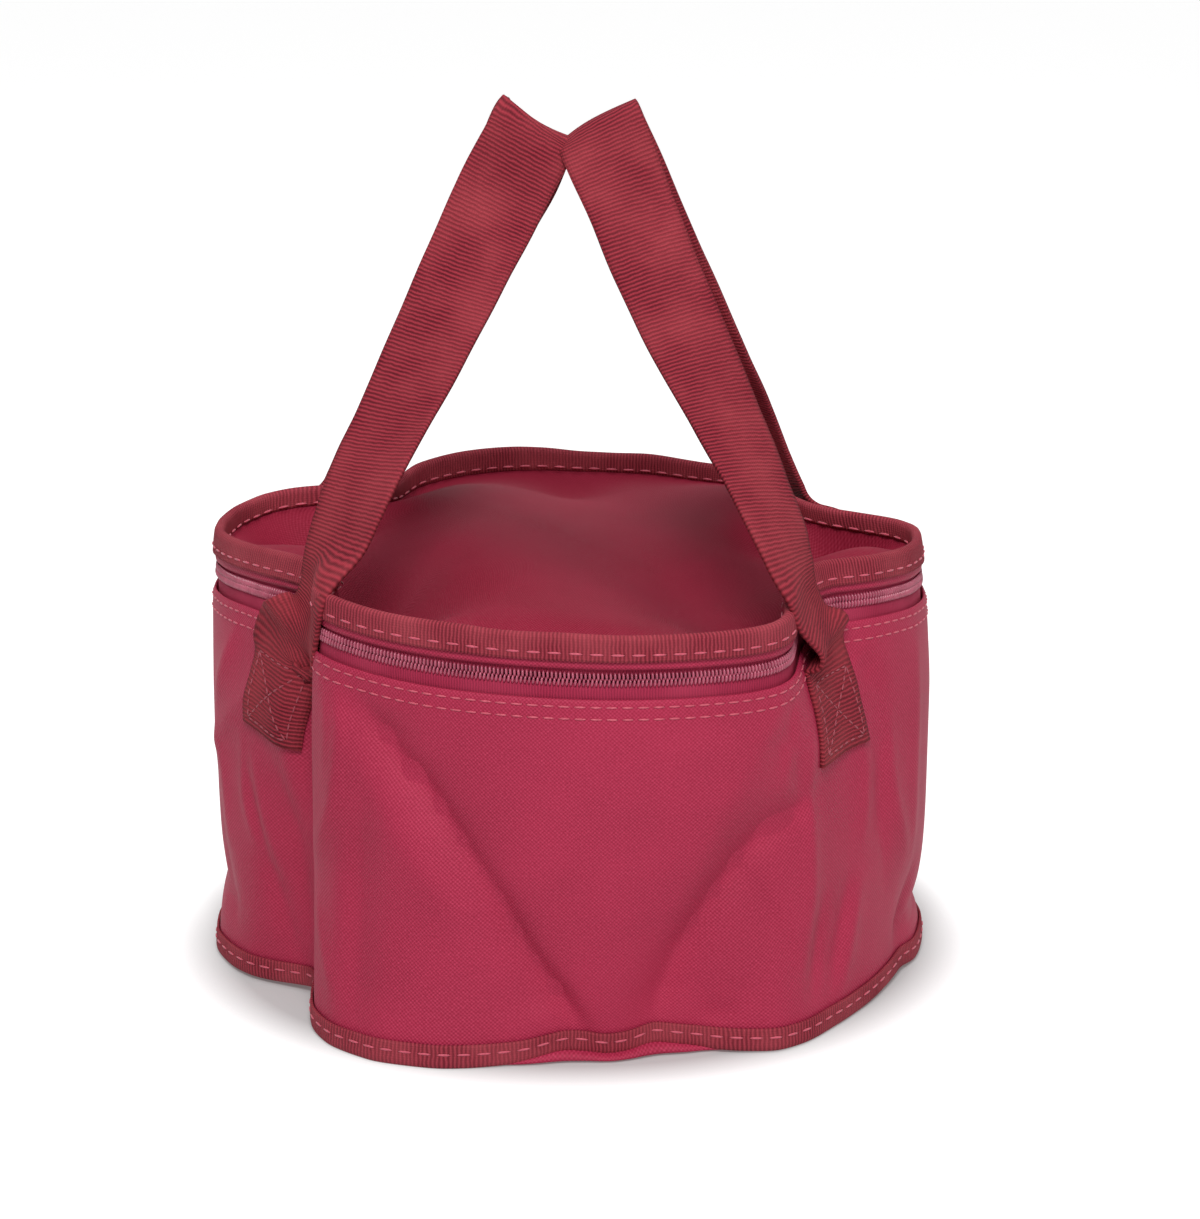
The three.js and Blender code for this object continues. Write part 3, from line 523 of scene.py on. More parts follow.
# %% Wall of the bag
CLOTH = 0.6
SEEN_STEP = 1.25
outer_face = [(0, z) for z in np.arange(4, 121, SEEN_STEP)]
turned_edge = [(0, 122.6), (-0.08, 123.5), (-0.3, 124.2), (-0.65, 124.5), (-1.0, 124.2),
               (-1.25, 123.4), (-1.35, 122), (-1.4, 117), (-1.35, 112)]
inner_face = [(-0.7, 111.6), (-CLOTH, 110), *[(-CLOTH, z) for z in range(100, 3, -10)]]
wall_path = [(-0.15, 1.0), (-0.05, 2.4), *outer_face, *turned_edge, *inner_face, (-0.55, 1.0),
             (-0.15, 1.0)]
walked = walked_along(np.array(wall_path, float))
body_wall = round_strip("wall_cloth", wall_path, 760, walked / walked[-1], 0)
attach(body_wall, "bag_body")
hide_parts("body_wall")
print("wall:", len(body_wall.data.polygons), "faces")

# %% [markdown]
# ## The bottom and its binding
#
# The bottom is a disc of the same cloth. A ribbed tape, folded over both edges and sewn through,
# joins it to the wall and stands up a little all round. Where the hem lifts, the disc's edge curls
# out below it.

# %% Bottom panel and bottom binding
EDGE_IN = -3.4
PANEL_LONG, PANEL_DEEP = 744, 118
UNDERSIDE = 0.65
HEM_BULGE = ((2.2, 0), (2.7, 0.6), (2.84, 3), (2.95, 7.5), (3.05, 9), (3.14, 9), (3.22, 8),
             (3.3, 3.5), (3.4, 0.5), (3.7, 0))
hem_bulge = soften_round(round_the_bag(HEM_BULGE), 4)


def bottom_place(across, up):
    """A place on the bottom: up runs from its middle to its edge inside the binding."""
    turn = across * ROUND
    edge = on_wall(turn, 0.7 + 0 * turn, EDGE_IN)
    radius = np.hypot(edge[:, 0], edge[:, 1])
    curl = np.exp(-((up - 0.965) / 0.028) ** 2)
    wide = radius * np.minimum(up / 0.985, 1) + read_round(hem_bulge, turn) * curl
    flat = edge * (wide / radius)[:, None]
    flat[:, 2] = UNDERSIDE + (0.4 + read_round(hem_lift, turn)) * smooth(up, 0.955, 1)
    flat[:, 2] += 0.25 * np.sin(wide / 9 + 2 * turn) * (1 - smooth(up, 0.5, 0.9))
    flat[:, 2] = np.maximum(flat[:, 2], UNDERSIDE - 0.03)
    return flat


bottom_rows = np.concatenate([np.linspace(0, 0.92, 16, endpoint=False), np.linspace(0.92, 1, 13)])
bottom = cloth_strip("bottom_cloth", columns_round(300), bottom_rows, bottom_place, PANEL_LONG,
                     PANEL_DEEP, CLOTH, 0.0)
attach(bottom, "bag_body")
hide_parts("bottom_panel")

bottom_tape_path = [(-3.4, 7.6), (-3.4, 2.6), (-3.3, 0.9), (-2.6, 0.1), (-1.2, 0.0), (0.2, 0.1),
                    (0.95, 0.8), (1.25, 2.2), (1.25, 4.5), (1.2, 6.5), (1.15, 8.1)]
bottom_binding = round_strip("bottom_binding_tape", bottom_tape_path, 640, even_lines(22), 0.8)
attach(bottom_binding, "bag_body")
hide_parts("bottom_binding")
print("bottom and its binding made")

# %% [markdown]
# ## Inside the back
#
# The wall strip is closed by one upright seam at the middle of the back, with a tape over it on the
# inside, and a short piece of cloth beside the zipper's ends keeps the lid on the bag.

# %% Back seam tape and hinge strip
BACK = 1.0
SEAM_HALF = 0.032
HINGE_HALF = 0.205
seam_path = [(-2.0, 8.5), (-2.0, 60), (-2.0, 116)]
seam_tape = round_strip("back_seam_tape", seam_path, 10, even_lines(40), CLOTH, BACK - SEAM_HALF,
                        BACK + SEAM_HALF)
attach(seam_tape, "bag_body")
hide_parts("back_seam_binding")
hinge_path = [(-1.75, 116.6), (-1.65, 124), (-1.45, 128), (-1.4, 132), (-1.55, 136.6)]
hinge_cloth = round_strip("hinge_cloth", hinge_path, 40, even_lines(14), CLOTH, BACK - HINGE_HALF,
                          BACK + HINGE_HALF)
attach(hinge_cloth, "bag_body")
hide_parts("hinge_strip")
print("seam tape and hinge strip made")

# %% [markdown]
# ## Cloth that crosses the lid's fold
#
# The lid is the same piece of cloth from front to back. It bends along a line between the two rear
# straps, and only the part before that line lifts. Every ring on the lid is made here as one piece
# round the bag, with its placement baked into its mesh.


def bends_with_lid(piece):
    """Bakes the piece's placement into its mesh; it is not tied to the lid."""
    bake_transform(piece)


# %% Zipper tapes, lid band and rim binding
ZIP_START = BACK + HINGE_HALF
ZIP_END = BACK - HINGE_HALF + ROUND
lower_tape = round_strip("lower_tape", [(-1.95, 116.6), (-1.85, 124), (-1.5, 129.4)], 560,
                         even_lines(6), 0.5, ZIP_START, ZIP_END)
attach(lower_tape, "bag_body")
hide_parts("lower_zipper_tape")

upper_tape = round_strip("upper_tape", [(-1.5, 132.2), (-1.6, 136.5), (-1.75, 141)], 560,
                         even_lines(5), 0.5, ZIP_START, ZIP_END)
bends_with_lid(upper_tape)
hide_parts("upper_tape_front", "upper_tape_back_left", "upper_tape_back_right")

band_path = [(-1.25, 141), (-1.2, 136), (-1.0, 134.5), (-0.55, 134.0), (-0.1, 134.3), (0.1, 135.4),
             (0.1, 138), (-0.1, 141), (-0.2, 144)]
lid_band = round_strip("lid_band_cloth", band_path, 640, even_lines(16), 0.5)
bends_with_lid(lid_band)
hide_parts("lid_band_front", "lid_band_back")

rim_path = [(1.15, 136.9), (1.2, 139), (1.15, 142), (1.0, 143.9), (0.45, 144.9), (-0.6, 145.25),
            (-1.8, 144.9), (-2.5, 143.9), (-2.75, 142), (-2.9, 138.4)]
rim_binding = round_strip("rim_binding_tape", rim_path, 640, even_lines(20), 0.8)
bends_with_lid(rim_binding)
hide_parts("rim_binding_front", "rim_binding_back")
print("zipper tapes, lid band and rim binding made")

# %% [markdown]
# ## The lid panel
#
# The top cloth is cut a little full, so it rises to a soft crown and sinks into pockets where the
# rim stands up round the lobes. Its edge is turned up inside the rim binding. The humps and hollows
# are broad bell shapes, added to an even crown.

# %% Lid panel
PANEL_EDGE = 138.0
PANEL_SHARE = 0.93
CROWN = 2.2
TURNED_UP = 6.2
LID_SWELLS = (
    # x, y, how high, and how wide it is across x and y, in millimetres
    (-28, -8, 9.0, 30, 66),
    (-46, 54, 6.5, 30, 32),
    (52, -40, -14.0, 30, 48),
    (-2, 96, -4.5, 15, 24),
    (56, 80, 4.5, 24, 24),
    (-70, -46, -20.0, 20, 22),
    (-56, -70, -12.0, 22, 16),
    (0, -104, -3.0, 60, 12),
    (-72, 80, -6.0, 20, 18),
    (89, 24, -24.0, 20, 15),
    (-91, 26, -18.0, 18, 15),
    (101, -4, 5.0, 16, 12),
    (-100, 0, 2.5, 18, 12),
    (74, -60, -18.0, 19, 19),
)
# a hollow keeps its depth nearly up to the rim, and a hump fades out sooner
HOLLOW_KEEPS, HUMP_KEEPS = 26, 9


def panel_place(across, up):
    """A place on the lid's top cloth: up runs from its middle to its edge in the binding."""
    turn = across * ROUND
    share = np.minimum(up / PANEL_SHARE, 1)
    rise = np.clip((up - PANEL_SHARE) / (1 - PANEL_SHARE), 0, 1)
    edge = on_wall(turn, PANEL_EDGE, -2.2)
    lifted = edge[:, 2] - PANEL_EDGE
    spots = edge * share[:, None]
    crown = CROWN * (1 - share ** 2)
    for x, y, tall, wide, deep in LID_SWELLS:
        wave = np.exp(-((spots[:, 0] - x) / wide) ** 2 - ((spots[:, 1] - y) / deep) ** 2)
        crown += tall * wave * (1 - share ** (HOLLOW_KEEPS if tall < 0 else HUMP_KEEPS))
    spots[:, 2] = PANEL_EDGE + crown + lifted * share ** 4 + TURNED_UP * rise
    return spots


lid_panel = cloth_strip("lid_panel_cloth", columns_round(420), even_lines(60), panel_place,
                        PANEL_LONG, PANEL_DEEP, CLOTH, turned=True)
bends_with_lid(lid_panel)
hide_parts("lid_panel_front", "lid_panel_back")
print("lid panel:", len(lid_panel.data.polygons), "faces")

# %% [markdown]
# ## The straps
#
# Each handle is one length of ribbed webbing, 30 mm wide. Both its ends are sewn flat to the wall
# beside a valley, and the length between leans in over the lid and folds over at the top, where the
# right handle lies against the left. The webbing twists on the way up: its width follows the wall
# at the bottom and faces the front at the top. The middle line and the direction of the width are
# given at a few places, and a smooth curve is drawn through them.

# %% Lines for the two handles
WEB_WIDE = 30
WEB_THICK = 1.5
TOP_LEAN = math.radians(30)
# places up a leg: x, y and height, and how far the width has turned from the wall to the front
LEFT_FRONT = ((-85, -70, 130, -0.3), (-78, -71.5, 143, -0.3), (-73.5, -70, 160, -0.15),
              (-65.6, -62, 179.3, 0.03), (-56.7, -48.7, 196.3, 0.11), (-47.7, -37.5, 213.1, 0.26),
              (-38.9, -27.4, 230.8, 0.44), (-30.1, -17.7, 248.7, 0.62), (-20.8, -9.6, 266.6, 0.82),
              (-14, -6, 279, 0.95), (-11, -3.2, 284.6, 1))
LEFT_BACK = ((-88.5, 71.5, 130, 0), (-79, 74, 143, 0), (-71.4, 71.5, 160, 0),
             (-61.8, 62, 179.3, 0), (-53.2, 48.7, 196.3, 0.04), (-45.3, 37.5, 213.1, 0.15),
             (-36.5, 27.4, 230.8, 0.3), (-27.6, 17.7, 248.7, 0.47), (-19, 9.6, 266.6, 0.69),
             (-13.8, 6, 279, 0.9), (-11, 3.2, 284.6, 1))
RIGHT_FRONT = ((84.5, -74.5, 130, -0.3), (76, -77, 143, -0.15), (70.5, -74.5, 161, 0.03),
               (61.7, -63, 179.3, 0.08), (52.2, -49.8, 196.3, 0.22), (43.1, -39, 213.1, 0.4),
               (33.9, -29.3, 230.8, 0.48), (25.2, -20.1, 248.7, 0.54), (17.4, -12.4, 266.6, 0.68),
               (11.8, -8.6, 278.8, 0.85), (9, -4.8, 284.8, 0.97))
RIGHT_BACK = ((88.5, 71.5, 130, 0), (77.5, 74.5, 143, 0.01), (68.4, 72.5, 160, 0.09),
              (58.9, 63, 179.3, 0.23), (49.7, 49.8, 196.3, 0.39), (40.4, 39, 213.1, 0.6),
              (31.8, 29.3, 230.8, 0.8), (23.9, 20.1, 248.7, 0.95), (16.7, 12.4, 266.6, 1),
              (11.2, 8.6, 278.8, 1), (8.8, 4.8, 284.8, 1))
SEWN_HEIGHTS = (88.5, 98, 108, 118)
SEWN_TURNS = {
    "left_front": (2.335, 2.344, 2.354, 2.366),
    "left_back": (1.6, 1.598, 1.594, 1.59),
    "right_front": (3.567, 3.563, 3.558, 3.552),
    "right_back": (0.4, 0.402, 0.406, 0.41),
}
LOOP_TOPS = {"left": (-9.6, 0, 285.4), "right": (7.6, 0, 286.6)}
HALF_TURN = 0.084
print("each handle runs through", 2 * (len(SEWN_HEIGHTS) + len(LEFT_FRONT)) + 1, "places")


# %% From those places to a smooth line
def unit(ways):
    """Directions made one long."""
    return ways / np.linalg.norm(ways, axis=-1, keepdims=True)


def square_to(way, side):
    """The part of a direction that is square to another one, made one long."""
    return unit(side - way * (side * way).sum(axis=-1, keepdims=True))


def sewn_places(corner):
    """Middle line and width direction of a sewn end, from its lower edge up."""
    away = 1 if corner in ("left_front", "right_back") else -1
    places = []
    for turn, height in zip(SEWN_TURNS[corner], SEWN_HEIGHTS):
        width = on_wall(turn - HALF_TURN, height) - on_wall(turn + HALF_TURN, height)
        places.append((*on_wall(turn, height, 0.9), *unit(width * away)))
    return places


def leg_places(leg, sewn_width, top):
    """The free part of a leg; its width turns from the wall's way to the leaning top's way."""
    return [(x, y, height, *unit(sewn_width * (1 - share) + top * share))
            for x, y, height, share in leg]


def curve_through(places, steps):
    """A smooth line through the places, with points spread evenly along it."""
    dense = smooth_curve(places, 24)
    walked = walked_along(dense[:, :3])
    even = np.linspace(0, walked[-1], steps)
    return np.stack([np.interp(even, walked, column) for column in dense.T], axis=1), walked[-1]


right_foot = sewn_places("right_front")
print("the right front end is sewn", round(math.hypot(*right_foot[0][:2])), "mm from the middle")

# %% How the bag pushes a handle outwards
AIR = 0.15
RIM_THICK = 1.3
BELOW_RIM, AT_RIM, OVER_RIM = 128, 137, 149
STEEPEST = 1.6


def rest_on_bag(spots, holds_to, free_from):
    """How far each place moves outwards, to lie on the wall up to one height and clear it above."""
    turn = np.mod(np.arctan2(spots[..., 1], spots[..., 0]) / (math.pi / 2), ROUND)
    height = spots[..., 2] - lift_at(turn, spots[..., 2])
    height = spots[..., 2] - lift_at(turn, height)
    radius, slope = wall_slope(turn, height)
    slant = np.minimum(np.hypot(radius, slope) / radius, STEEPEST)
    rim = RIM_THICK * smooth(height, BELOW_RIM, AT_RIM)
    wanted = radius + (AIR + WEB_THICK + rim) * slant
    now = np.hypot(spots[..., 0], spots[..., 1])
    held = 1 - smooth(spots[..., 2], holds_to, free_from)
    clear = np.where(height < OVER_RIM, np.maximum(wanted - now, 0), 0)
    return clear + (wanted - now - clear) * held


# %% Places on a handle, before and after it is laid on the bag
STRAP_STEPS = 300
ACROSS_STEPS = np.linspace(-0.5, 0.5, 15)
EVENED = 14
STRAP_LINES = {}
STRAP_PUSH = {}


def free_spots(side, at, across):
    """Places on a handle's webbing before it is laid on the bag."""
    line = STRAP_LINES[side][0]
    steps = np.arange(len(line))

    def read(where, columns):
        return np.stack([np.interp(where, steps, line[:, k]) for k in columns], axis=1)

    middle = read(at, range(3))
    way = unit(read(at + 1.5, range(3)) - read(at - 1.5, range(3)))
    width = square_to(way, read(at, range(3, 6)))
    through = np.cross(way, width)
    high = smooth(middle[:, 2], 150, 250)
    ripple = 0.6 * np.sin(at / 7.0 + 2.0 * across) * high
    ripple += 0.4 * np.sin(at / 3.1 - 5 * across) * high ** 4
    bowed = (across ** 2 - 0.08) * 5 * smooth(middle[:, 2], 118, 150)
    return middle + width * (across * WEB_WIDE)[:, None] + through * (ripple + bowed)[:, None]


def settle(side):
    """Works out once how the bag pushes this handle outwards, evened out as webbing is stiff."""
    at, across = np.meshgrid(np.arange(STRAP_STEPS, dtype=float), ACROSS_STEPS, indexing="ij")
    spots = free_spots(side, at.ravel(), across.ravel()).reshape(*at.shape, 3)
    sewn_to = SEWN_HEIGHTS[-1]
    push = rest_on_bag(spots, sewn_to - 1, sewn_to + 9)
    sewn = spots[..., 2] < sewn_to + 2
    for _ in range(EVENED):
        padded = np.pad(push, 1, mode="edge")
        evened = (padded[:-2, 1:-1] + padded[2:, 1:-1] + padded[1:-1, :-2] + padded[1:-1, 2:]) / 4
        push = np.where(sewn, push, np.maximum(evened, push * 0.97))
    STRAP_PUSH[side] = push


def strap_spots(side, along, across, lift=0.0):
    """Places on a handle's webbing: a share of the way along it, and across its width."""
    at = np.asarray(along, float) * (STRAP_STEPS - 1)
    across = np.asarray(across, float) + 0 * at
    spots = free_spots(side, at, across)
    push = STRAP_PUSH[side]
    row = np.clip(at, 0, STRAP_STEPS - 1.001)
    column = np.clip((across + 0.5) * (len(ACROSS_STEPS) - 1), 0, len(ACROSS_STEPS) - 1.001)
    r, c = row.astype(int), column.astype(int)
    a, b = row - r, column - c
    outward = (push[r, c] * (1 - a) * (1 - b) + push[r + 1, c] * a * (1 - b)
               + push[r, c + 1] * (1 - a) * b + push[r + 1, c + 1] * a * b) + lift
    flat = np.hypot(spots[:, 0], spots[:, 1])
    moved = 1 + outward / flat
    return np.column_stack([spots[:, :2] * moved[:, None], spots[:, 2]])


# %% Both handles as lengths of webbing
for side, sign, front_leg, back_leg in (("left", -1, LEFT_FRONT, LEFT_BACK),
                                        ("right", 1, RIGHT_FRONT, RIGHT_BACK)):
    front_sewn = sewn_places(f"{side}_front")
    back_sewn = sewn_places(f"{side}_back")
    top = np.array([sign * math.cos(TOP_LEAN), 0, math.sin(TOP_LEAN)])
    front_free = leg_places(front_leg, np.array(front_sewn[-1][3:]), top)
    back_free = leg_places(back_leg, np.array(back_sewn[-1][3:]), top)
    line = [*front_sewn, *front_free, (*LOOP_TOPS[side], *top), *back_free[::-1], *back_sewn[::-1]]
    STRAP_LINES[side] = curve_through(line, STRAP_STEPS)
    settle(side)

    def strap_place(across, up, side=side):
        return strap_spots(side, across, up - 0.5)

    strap = cloth_strip(f"strap_{side}_webbing", even_lines(420), even_lines(14), strap_place,
                        STRAP_LINES[side][1], WEB_WIDE, WEB_THICK, turned=side == "right")
    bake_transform(strap)
    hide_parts(f"strap_{side}_loop", f"strap_end_front_{side}", f"strap_end_back_{side}",
                f"strap_bend_front_{side}", f"strap_bend_back_{side}")
    print(side, "handle:", round(STRAP_LINES[side][1]), "mm of webbing")

# %% [markdown]
# ## The zipper's coil
#
# A coil zipper has no separate metal teeth. Each side is a nylon thread wound into a spiral and
# sewn along the tape, and what is seen are its loops, standing side by side and reaching between
# those of the other side. Each loop is a small rounded bead here, with few faces, because there are
# about a thousand of them.

# %% Places in a row round the bag, and beads that stand there
LOOP_APART = 1.3
LOOP_SIZE = (0.5, 1.45, 0.85)
LOOP_LEAN = math.radians(5)
COIL_IN = -1.15
COIL_START = ZIP_START + 0.017
COIL_END = ZIP_END - 0.017


def ring_frames(start, end, apart, height, layer):
    """Places spread evenly round the bag, each with its direction along, up and outwards."""
    turns = np.linspace(start, end, 4000)
    walked = walked_along(on_wall(turns, height, layer))
    count = max(int(walked[-1] // apart), 1)
    at = np.interp((np.arange(count) + 0.5) * walked[-1] / count, walked, turns)
    here = on_wall(at, height, layer)
    along = unit(on_wall(at + 0.004, height, layer) - on_wall(at - 0.004, height, layer))
    up = square_to(along, np.tile([0.0, 0.0, 1.0], (len(at), 1)))
    return here, along, up, np.cross(along, up)


def placed(here, along, up, out):
    """The matrix that carries a thing made flat to a place on the bag."""
    axes = Matrix((Vector(along), Vector(up), Vector(out))).transposed().to_4x4()
    return Matrix.Translation(Vector(here) * MM) @ axes


def beads(name, rows, size, lean=0.0):
    """Small rounded beads: size is their half length along, up and outwards, in millimetres."""
    whole = bmesh.new()
    batch = bpy.data.meshes.new("batch")
    tilt = Matrix.Rotation(lean, 4, "Z") @ Matrix.Diagonal((*(Vector(size) * MM), 1))
    spots = [spot for frames in rows for spot in zip(*frames)]
    for first in range(0, len(spots), 24):
        bm = bmesh.new()
        for spot in spots[first:first + 24]:
            bmesh.ops.create_uvsphere(bm, u_segments=8, v_segments=5, radius=1,
                                      matrix=placed(*spot) @ tilt)
        bm.to_mesh(batch)
        bm.free()
        whole.from_mesh(batch)
    bpy.data.meshes.remove(batch)
    return finish_piece(whole, name)


# %% Coil loops
lower_row = ring_frames(COIL_START, COIL_END, LOOP_APART, 129.8, COIL_IN)
lower_coil = beads("lower_coil_loops", [lower_row], LOOP_SIZE, -LOOP_LEAN)
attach(lower_coil, "bag_body")
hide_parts("lower_zipper_coil")
half = LOOP_APART / 2 / QUARTER_LONG
upper_row = ring_frames(COIL_START + half, COIL_END + half, LOOP_APART, 131.8, COIL_IN)
upper_coil = beads("upper_coil_loops", [upper_row], LOOP_SIZE, LOOP_LEAN)
bends_with_lid(upper_coil)
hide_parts("upper_coil_front", "upper_coil_back_left", "upper_coil_back_right")
print("coil:", len(lower_coil.data.polygons) + len(upper_coil.data.polygons), "faces")

# %% End stops, each a small block that is crimped over both tapes
STOP_SIZE = (2.3, 5.6, 2.3)
for name, turn in (("left", ZIP_START + 0.007), ("right", ZIP_END - 0.007)):
    spot = [row[0] for row in ring_frames(turn - 0.002, turn + 0.002, 5, 130.8, -1.3)]
    bm = bmesh.new()
    bmesh.ops.create_cube(bm, size=1)
    bmesh.ops.subdivide_edges(bm, edges=bm.edges[:], cuts=2, use_grid_fill=True)
    bmesh.ops.scale(bm, verts=bm.verts, vec=Vector(STOP_SIZE) * MM)
    bmesh.ops.bevel(bm, geom=[e for e in bm.edges if e.calc_face_angle(0) > 1], affect="EDGES",
                    offset=0.5 * MM, segments=3, profile=0.5, material=-1)
    bmesh.ops.transform(bm, matrix=placed(*spot), verts=bm.verts)
    stop = finish_piece(bm, f"end_stop_{name}")
    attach(stop, "bag_body")
    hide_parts(f"zipper_stop_{name}")
print("end stops made")

# %% [markdown]
# ## Slider and pull
#
# The slider stands at the closed end of the zipper, on the left of the back lobe. It is a small die
# casting: two rounded plates with the coil between them, and a bridge that holds the pull. The pull
# is a flat tongue with an eye at its upper end. They are made flat and then carried to the place
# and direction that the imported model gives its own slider.

# %% Where the slider stands
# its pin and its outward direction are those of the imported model's slider
PIN = Vector((-35.399, 119.043, 130.8))
OUT = Vector((-0.415655, 0.909522, 0))
UP = Vector((0, 0, 1))
slider_place = placed(PIN, OUT.cross(UP), UP, OUT)
print("slider at", [round(v, 1) for v in PIN], "mm")


# %% A plate with rounded corners
PLATE_LONG, PLATE_HIGH, PLATE_THICK = 10.6, 7.8, 1.1
INNER_LONG = 6.6
PLATE_NARROW = 0.74
OUTER_OUT, INNER_OUT = -2.35, -8.8
DIVIDER, DIVIDER_OUT = (1.2, 0.4, 5.6), -5.5
POST, POST_OUT, POST_ASIDE = (1.2, 2.6, 3.2), -0.75, 3.35
PIN_ROUND, PIN_LONG = 0.58, 7.2


def rounded_block(bm, long, high, thick, out, narrow=1.0, soft=0.45):
    """A plate with rounded corners, narrower towards one end, its middle this far out."""
    made = bmesh.ops.create_cube(bm, size=1)["verts"]
    for vert in made:
        vert.co.y *= narrow if vert.co.x > 0 else 1
    bmesh.ops.scale(bm, verts=made, vec=Vector((long, high, thick)) * MM)
    bmesh.ops.translate(bm, verts=made, vec=(0, 0, out * MM))
    edges = dict.fromkeys(e for v in made for e in v.link_edges)
    uprights = [e for e in edges if abs((e.verts[0].co - e.verts[1].co).z) > 0.5 * thick * MM]
    cut = bmesh.ops.bevel(bm, geom=uprights, affect="EDGES", offset=min(long, high) * 0.3 * MM,
                          segments=5, profile=0.5, material=-1)
    faces = [*cut["faces"], *(f for v in made if v.is_valid for f in v.link_faces)]
    rims = dict.fromkeys(e for f in faces for e in f.edges
                         if e.is_manifold and e.calc_face_angle(0) > 1)
    bmesh.ops.bevel(bm, geom=list(rims), affect="EDGES", offset=soft * thick * 0.6 * MM, segments=3,
                    profile=0.5, material=-1)


# %% The slider's casting
bm = bmesh.new()
rounded_block(bm, PLATE_LONG, PLATE_HIGH, PLATE_THICK, OUTER_OUT, PLATE_NARROW)
# the inner plate is shorter and keeps its distance, so that the curved tape passes through
rounded_block(bm, INNER_LONG, PLATE_HIGH, PLATE_THICK, INNER_OUT, PLATE_NARROW)
# a thin divider joins the plates, and two posts hold the bridge's pin
rounded_block(bm, *DIVIDER, DIVIDER_OUT, soft=0.15)
for end in (-POST_ASIDE, POST_ASIDE):
    already = set(bm.verts)
    rounded_block(bm, *POST, POST_OUT, soft=0.2)
    post = [vert for vert in bm.verts if vert not in already]
    bmesh.ops.translate(bm, verts=post, vec=(end * MM, 0, 0))
bmesh.ops.create_cone(bm, cap_ends=True, segments=20, radius1=PIN_ROUND * MM,
                      radius2=PIN_ROUND * MM, depth=PIN_LONG * MM,
                      matrix=Matrix.Rotation(math.pi / 2, 4, "Y"))
bmesh.ops.transform(bm, matrix=slider_place, verts=bm.verts)
slider = finish_piece(bm, "slider_casting")
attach(slider, "slider")
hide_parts("zipper_slider")
print("slider:", len(slider.data.polygons), "faces")

# %% Pull
PULL_LONG, PULL_WIDE, PULL_THICK = 20.0, 5.0, 1.2
EYE_LONG, EYE_ROUND, EYE_WIRE = 2.2, 1.55, 0.42
EYE_WIDER = 4.2
bm = bmesh.new()
rounded_block(bm, PULL_WIDE, PULL_LONG - EYE_LONG, PULL_THICK, 0, soft=0.5)
bmesh.ops.translate(bm, verts=bm.verts, vec=(0, -(PULL_LONG + EYE_LONG) / 2 * MM, 0))
tongue = set(bm.verts)
# the eye is a ring of wire, spun round the pin and then stretched along it
eye_place = Matrix.Translation((0, EYE_ROUND * MM, 0)) @ Matrix.Rotation(math.pi / 2, 4, "Y")
wire = bmesh.ops.create_circle(bm, cap_ends=False, segments=10, radius=EYE_WIRE * MM,
                               matrix=eye_place)["verts"]
edges = list(dict.fromkeys(e for v in wire for e in v.link_edges))
bmesh.ops.spin(bm, geom=wire + edges, cent=(0, 0, 0), axis=(1, 0, 0), angle=2 * math.pi, steps=28,
               use_merge=True)
for vert in bm.verts:
    if vert not in tongue:
        vert.co.x *= EYE_WIDER
bmesh.ops.recalc_face_normals(bm, faces=bm.faces)
bmesh.ops.transform(bm, matrix=slider_place, verts=bm.verts)
pull = finish_piece(bm, "pull_tongue")
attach(pull, "pull")
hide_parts("slider_pull")
print("pull:", len(pull.data.polygons), "faces")

# %% [markdown]
# ## Stitches
#
# Rows of straight stitches in a lighter thread hold every seam of the bag. Each stitch that shows
# is a short length of thread pressed into the cloth, so it is drawn as a flat bead, and a row is
# one piece that follows the same body as the cloth it is sewn through.

# %% Rows of stitches round the bag
STITCH_ROWS = (
    # name, height, layer, distance apart, half length, half width, and whether it is on the lid
    ("wall_stitches_upper", 122.2, 0.1, 4.9, 1.95, 0.34, False),
    ("wall_stitches_lower", 118.3, 0.1, 4.9, 1.95, 0.34, False),
    ("hem_stitches", 5.1, 1.3, 6.4, 2.3, 0.4, False),
    ("rim_stitches_outside", 139.3, 1.25, 6.5, 2.3, 0.4, True),
    ("rim_stitches_inside", 139.6, -3.75, 6.5, 2.3, 0.4, True),
)
for name, height, layer, apart, long, wide, on_lid in STITCH_ROWS:
    row = beads(name, [ring_frames(0, ROUND, apart, height, layer)], (long, wide, 0.3))
    if on_lid:
        bends_with_lid(row)
    else:
        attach(row, "bag_body")

# %% Box and cross on each sewn end
BOX_LONG, BOX_HALF, BOX_FROM_EDGE = 24, 11.5, 3.0
SEWN_LONG = 3.3


def sewn_stitches(side, from_end):
    """Frames of the box and the cross of stitches on one end of a handle."""
    long = STRAP_LINES[side][1]
    low, high = BOX_FROM_EDGE, BOX_FROM_EDGE + BOX_LONG
    corners = ((low, -BOX_HALF), (low, BOX_HALF), (high, BOX_HALF), (high, -BOX_HALF))
    lines = [(corners[k], corners[(k + 1) % 4]) for k in range(4)]
    lines += [(corners[0], corners[2]), (corners[1], corners[3])]
    frames = []
    for (a0, w0), (a1, w1) in lines:
        steps = max(int(math.hypot(a1 - a0, w1 - w0) / SEWN_LONG), 2)
        share = (np.arange(steps) + 0.5) / steps
        reach = 0.32 / math.hypot(a1 - a0, w1 - w0)

        def spot(t):
            along = (a0 + (a1 - a0) * t) / long
            along = along if from_end == "front" else 1 - along
            return strap_spots(side, along, (w0 + (w1 - w0) * t) / WEB_WIDE, 0.1)

        here = spot(share)
        way = unit(spot(share + reach) - spot(share - reach))
        up = unit(np.cross(unit(here * (1, 1, 0)), way))
        frames.append((here, way, up, np.cross(way, up)))
    return frames


strap_stitches = []
for side in ("left", "right"):
    for end in ("front", "back"):
        row = beads(f"box_stitches_{end}_{side}", sewn_stitches(side, end), (1.3, 0.32, 0.26))
        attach(row, "bag_body")
        strap_stitches.append(row.name)
print("stitches made")

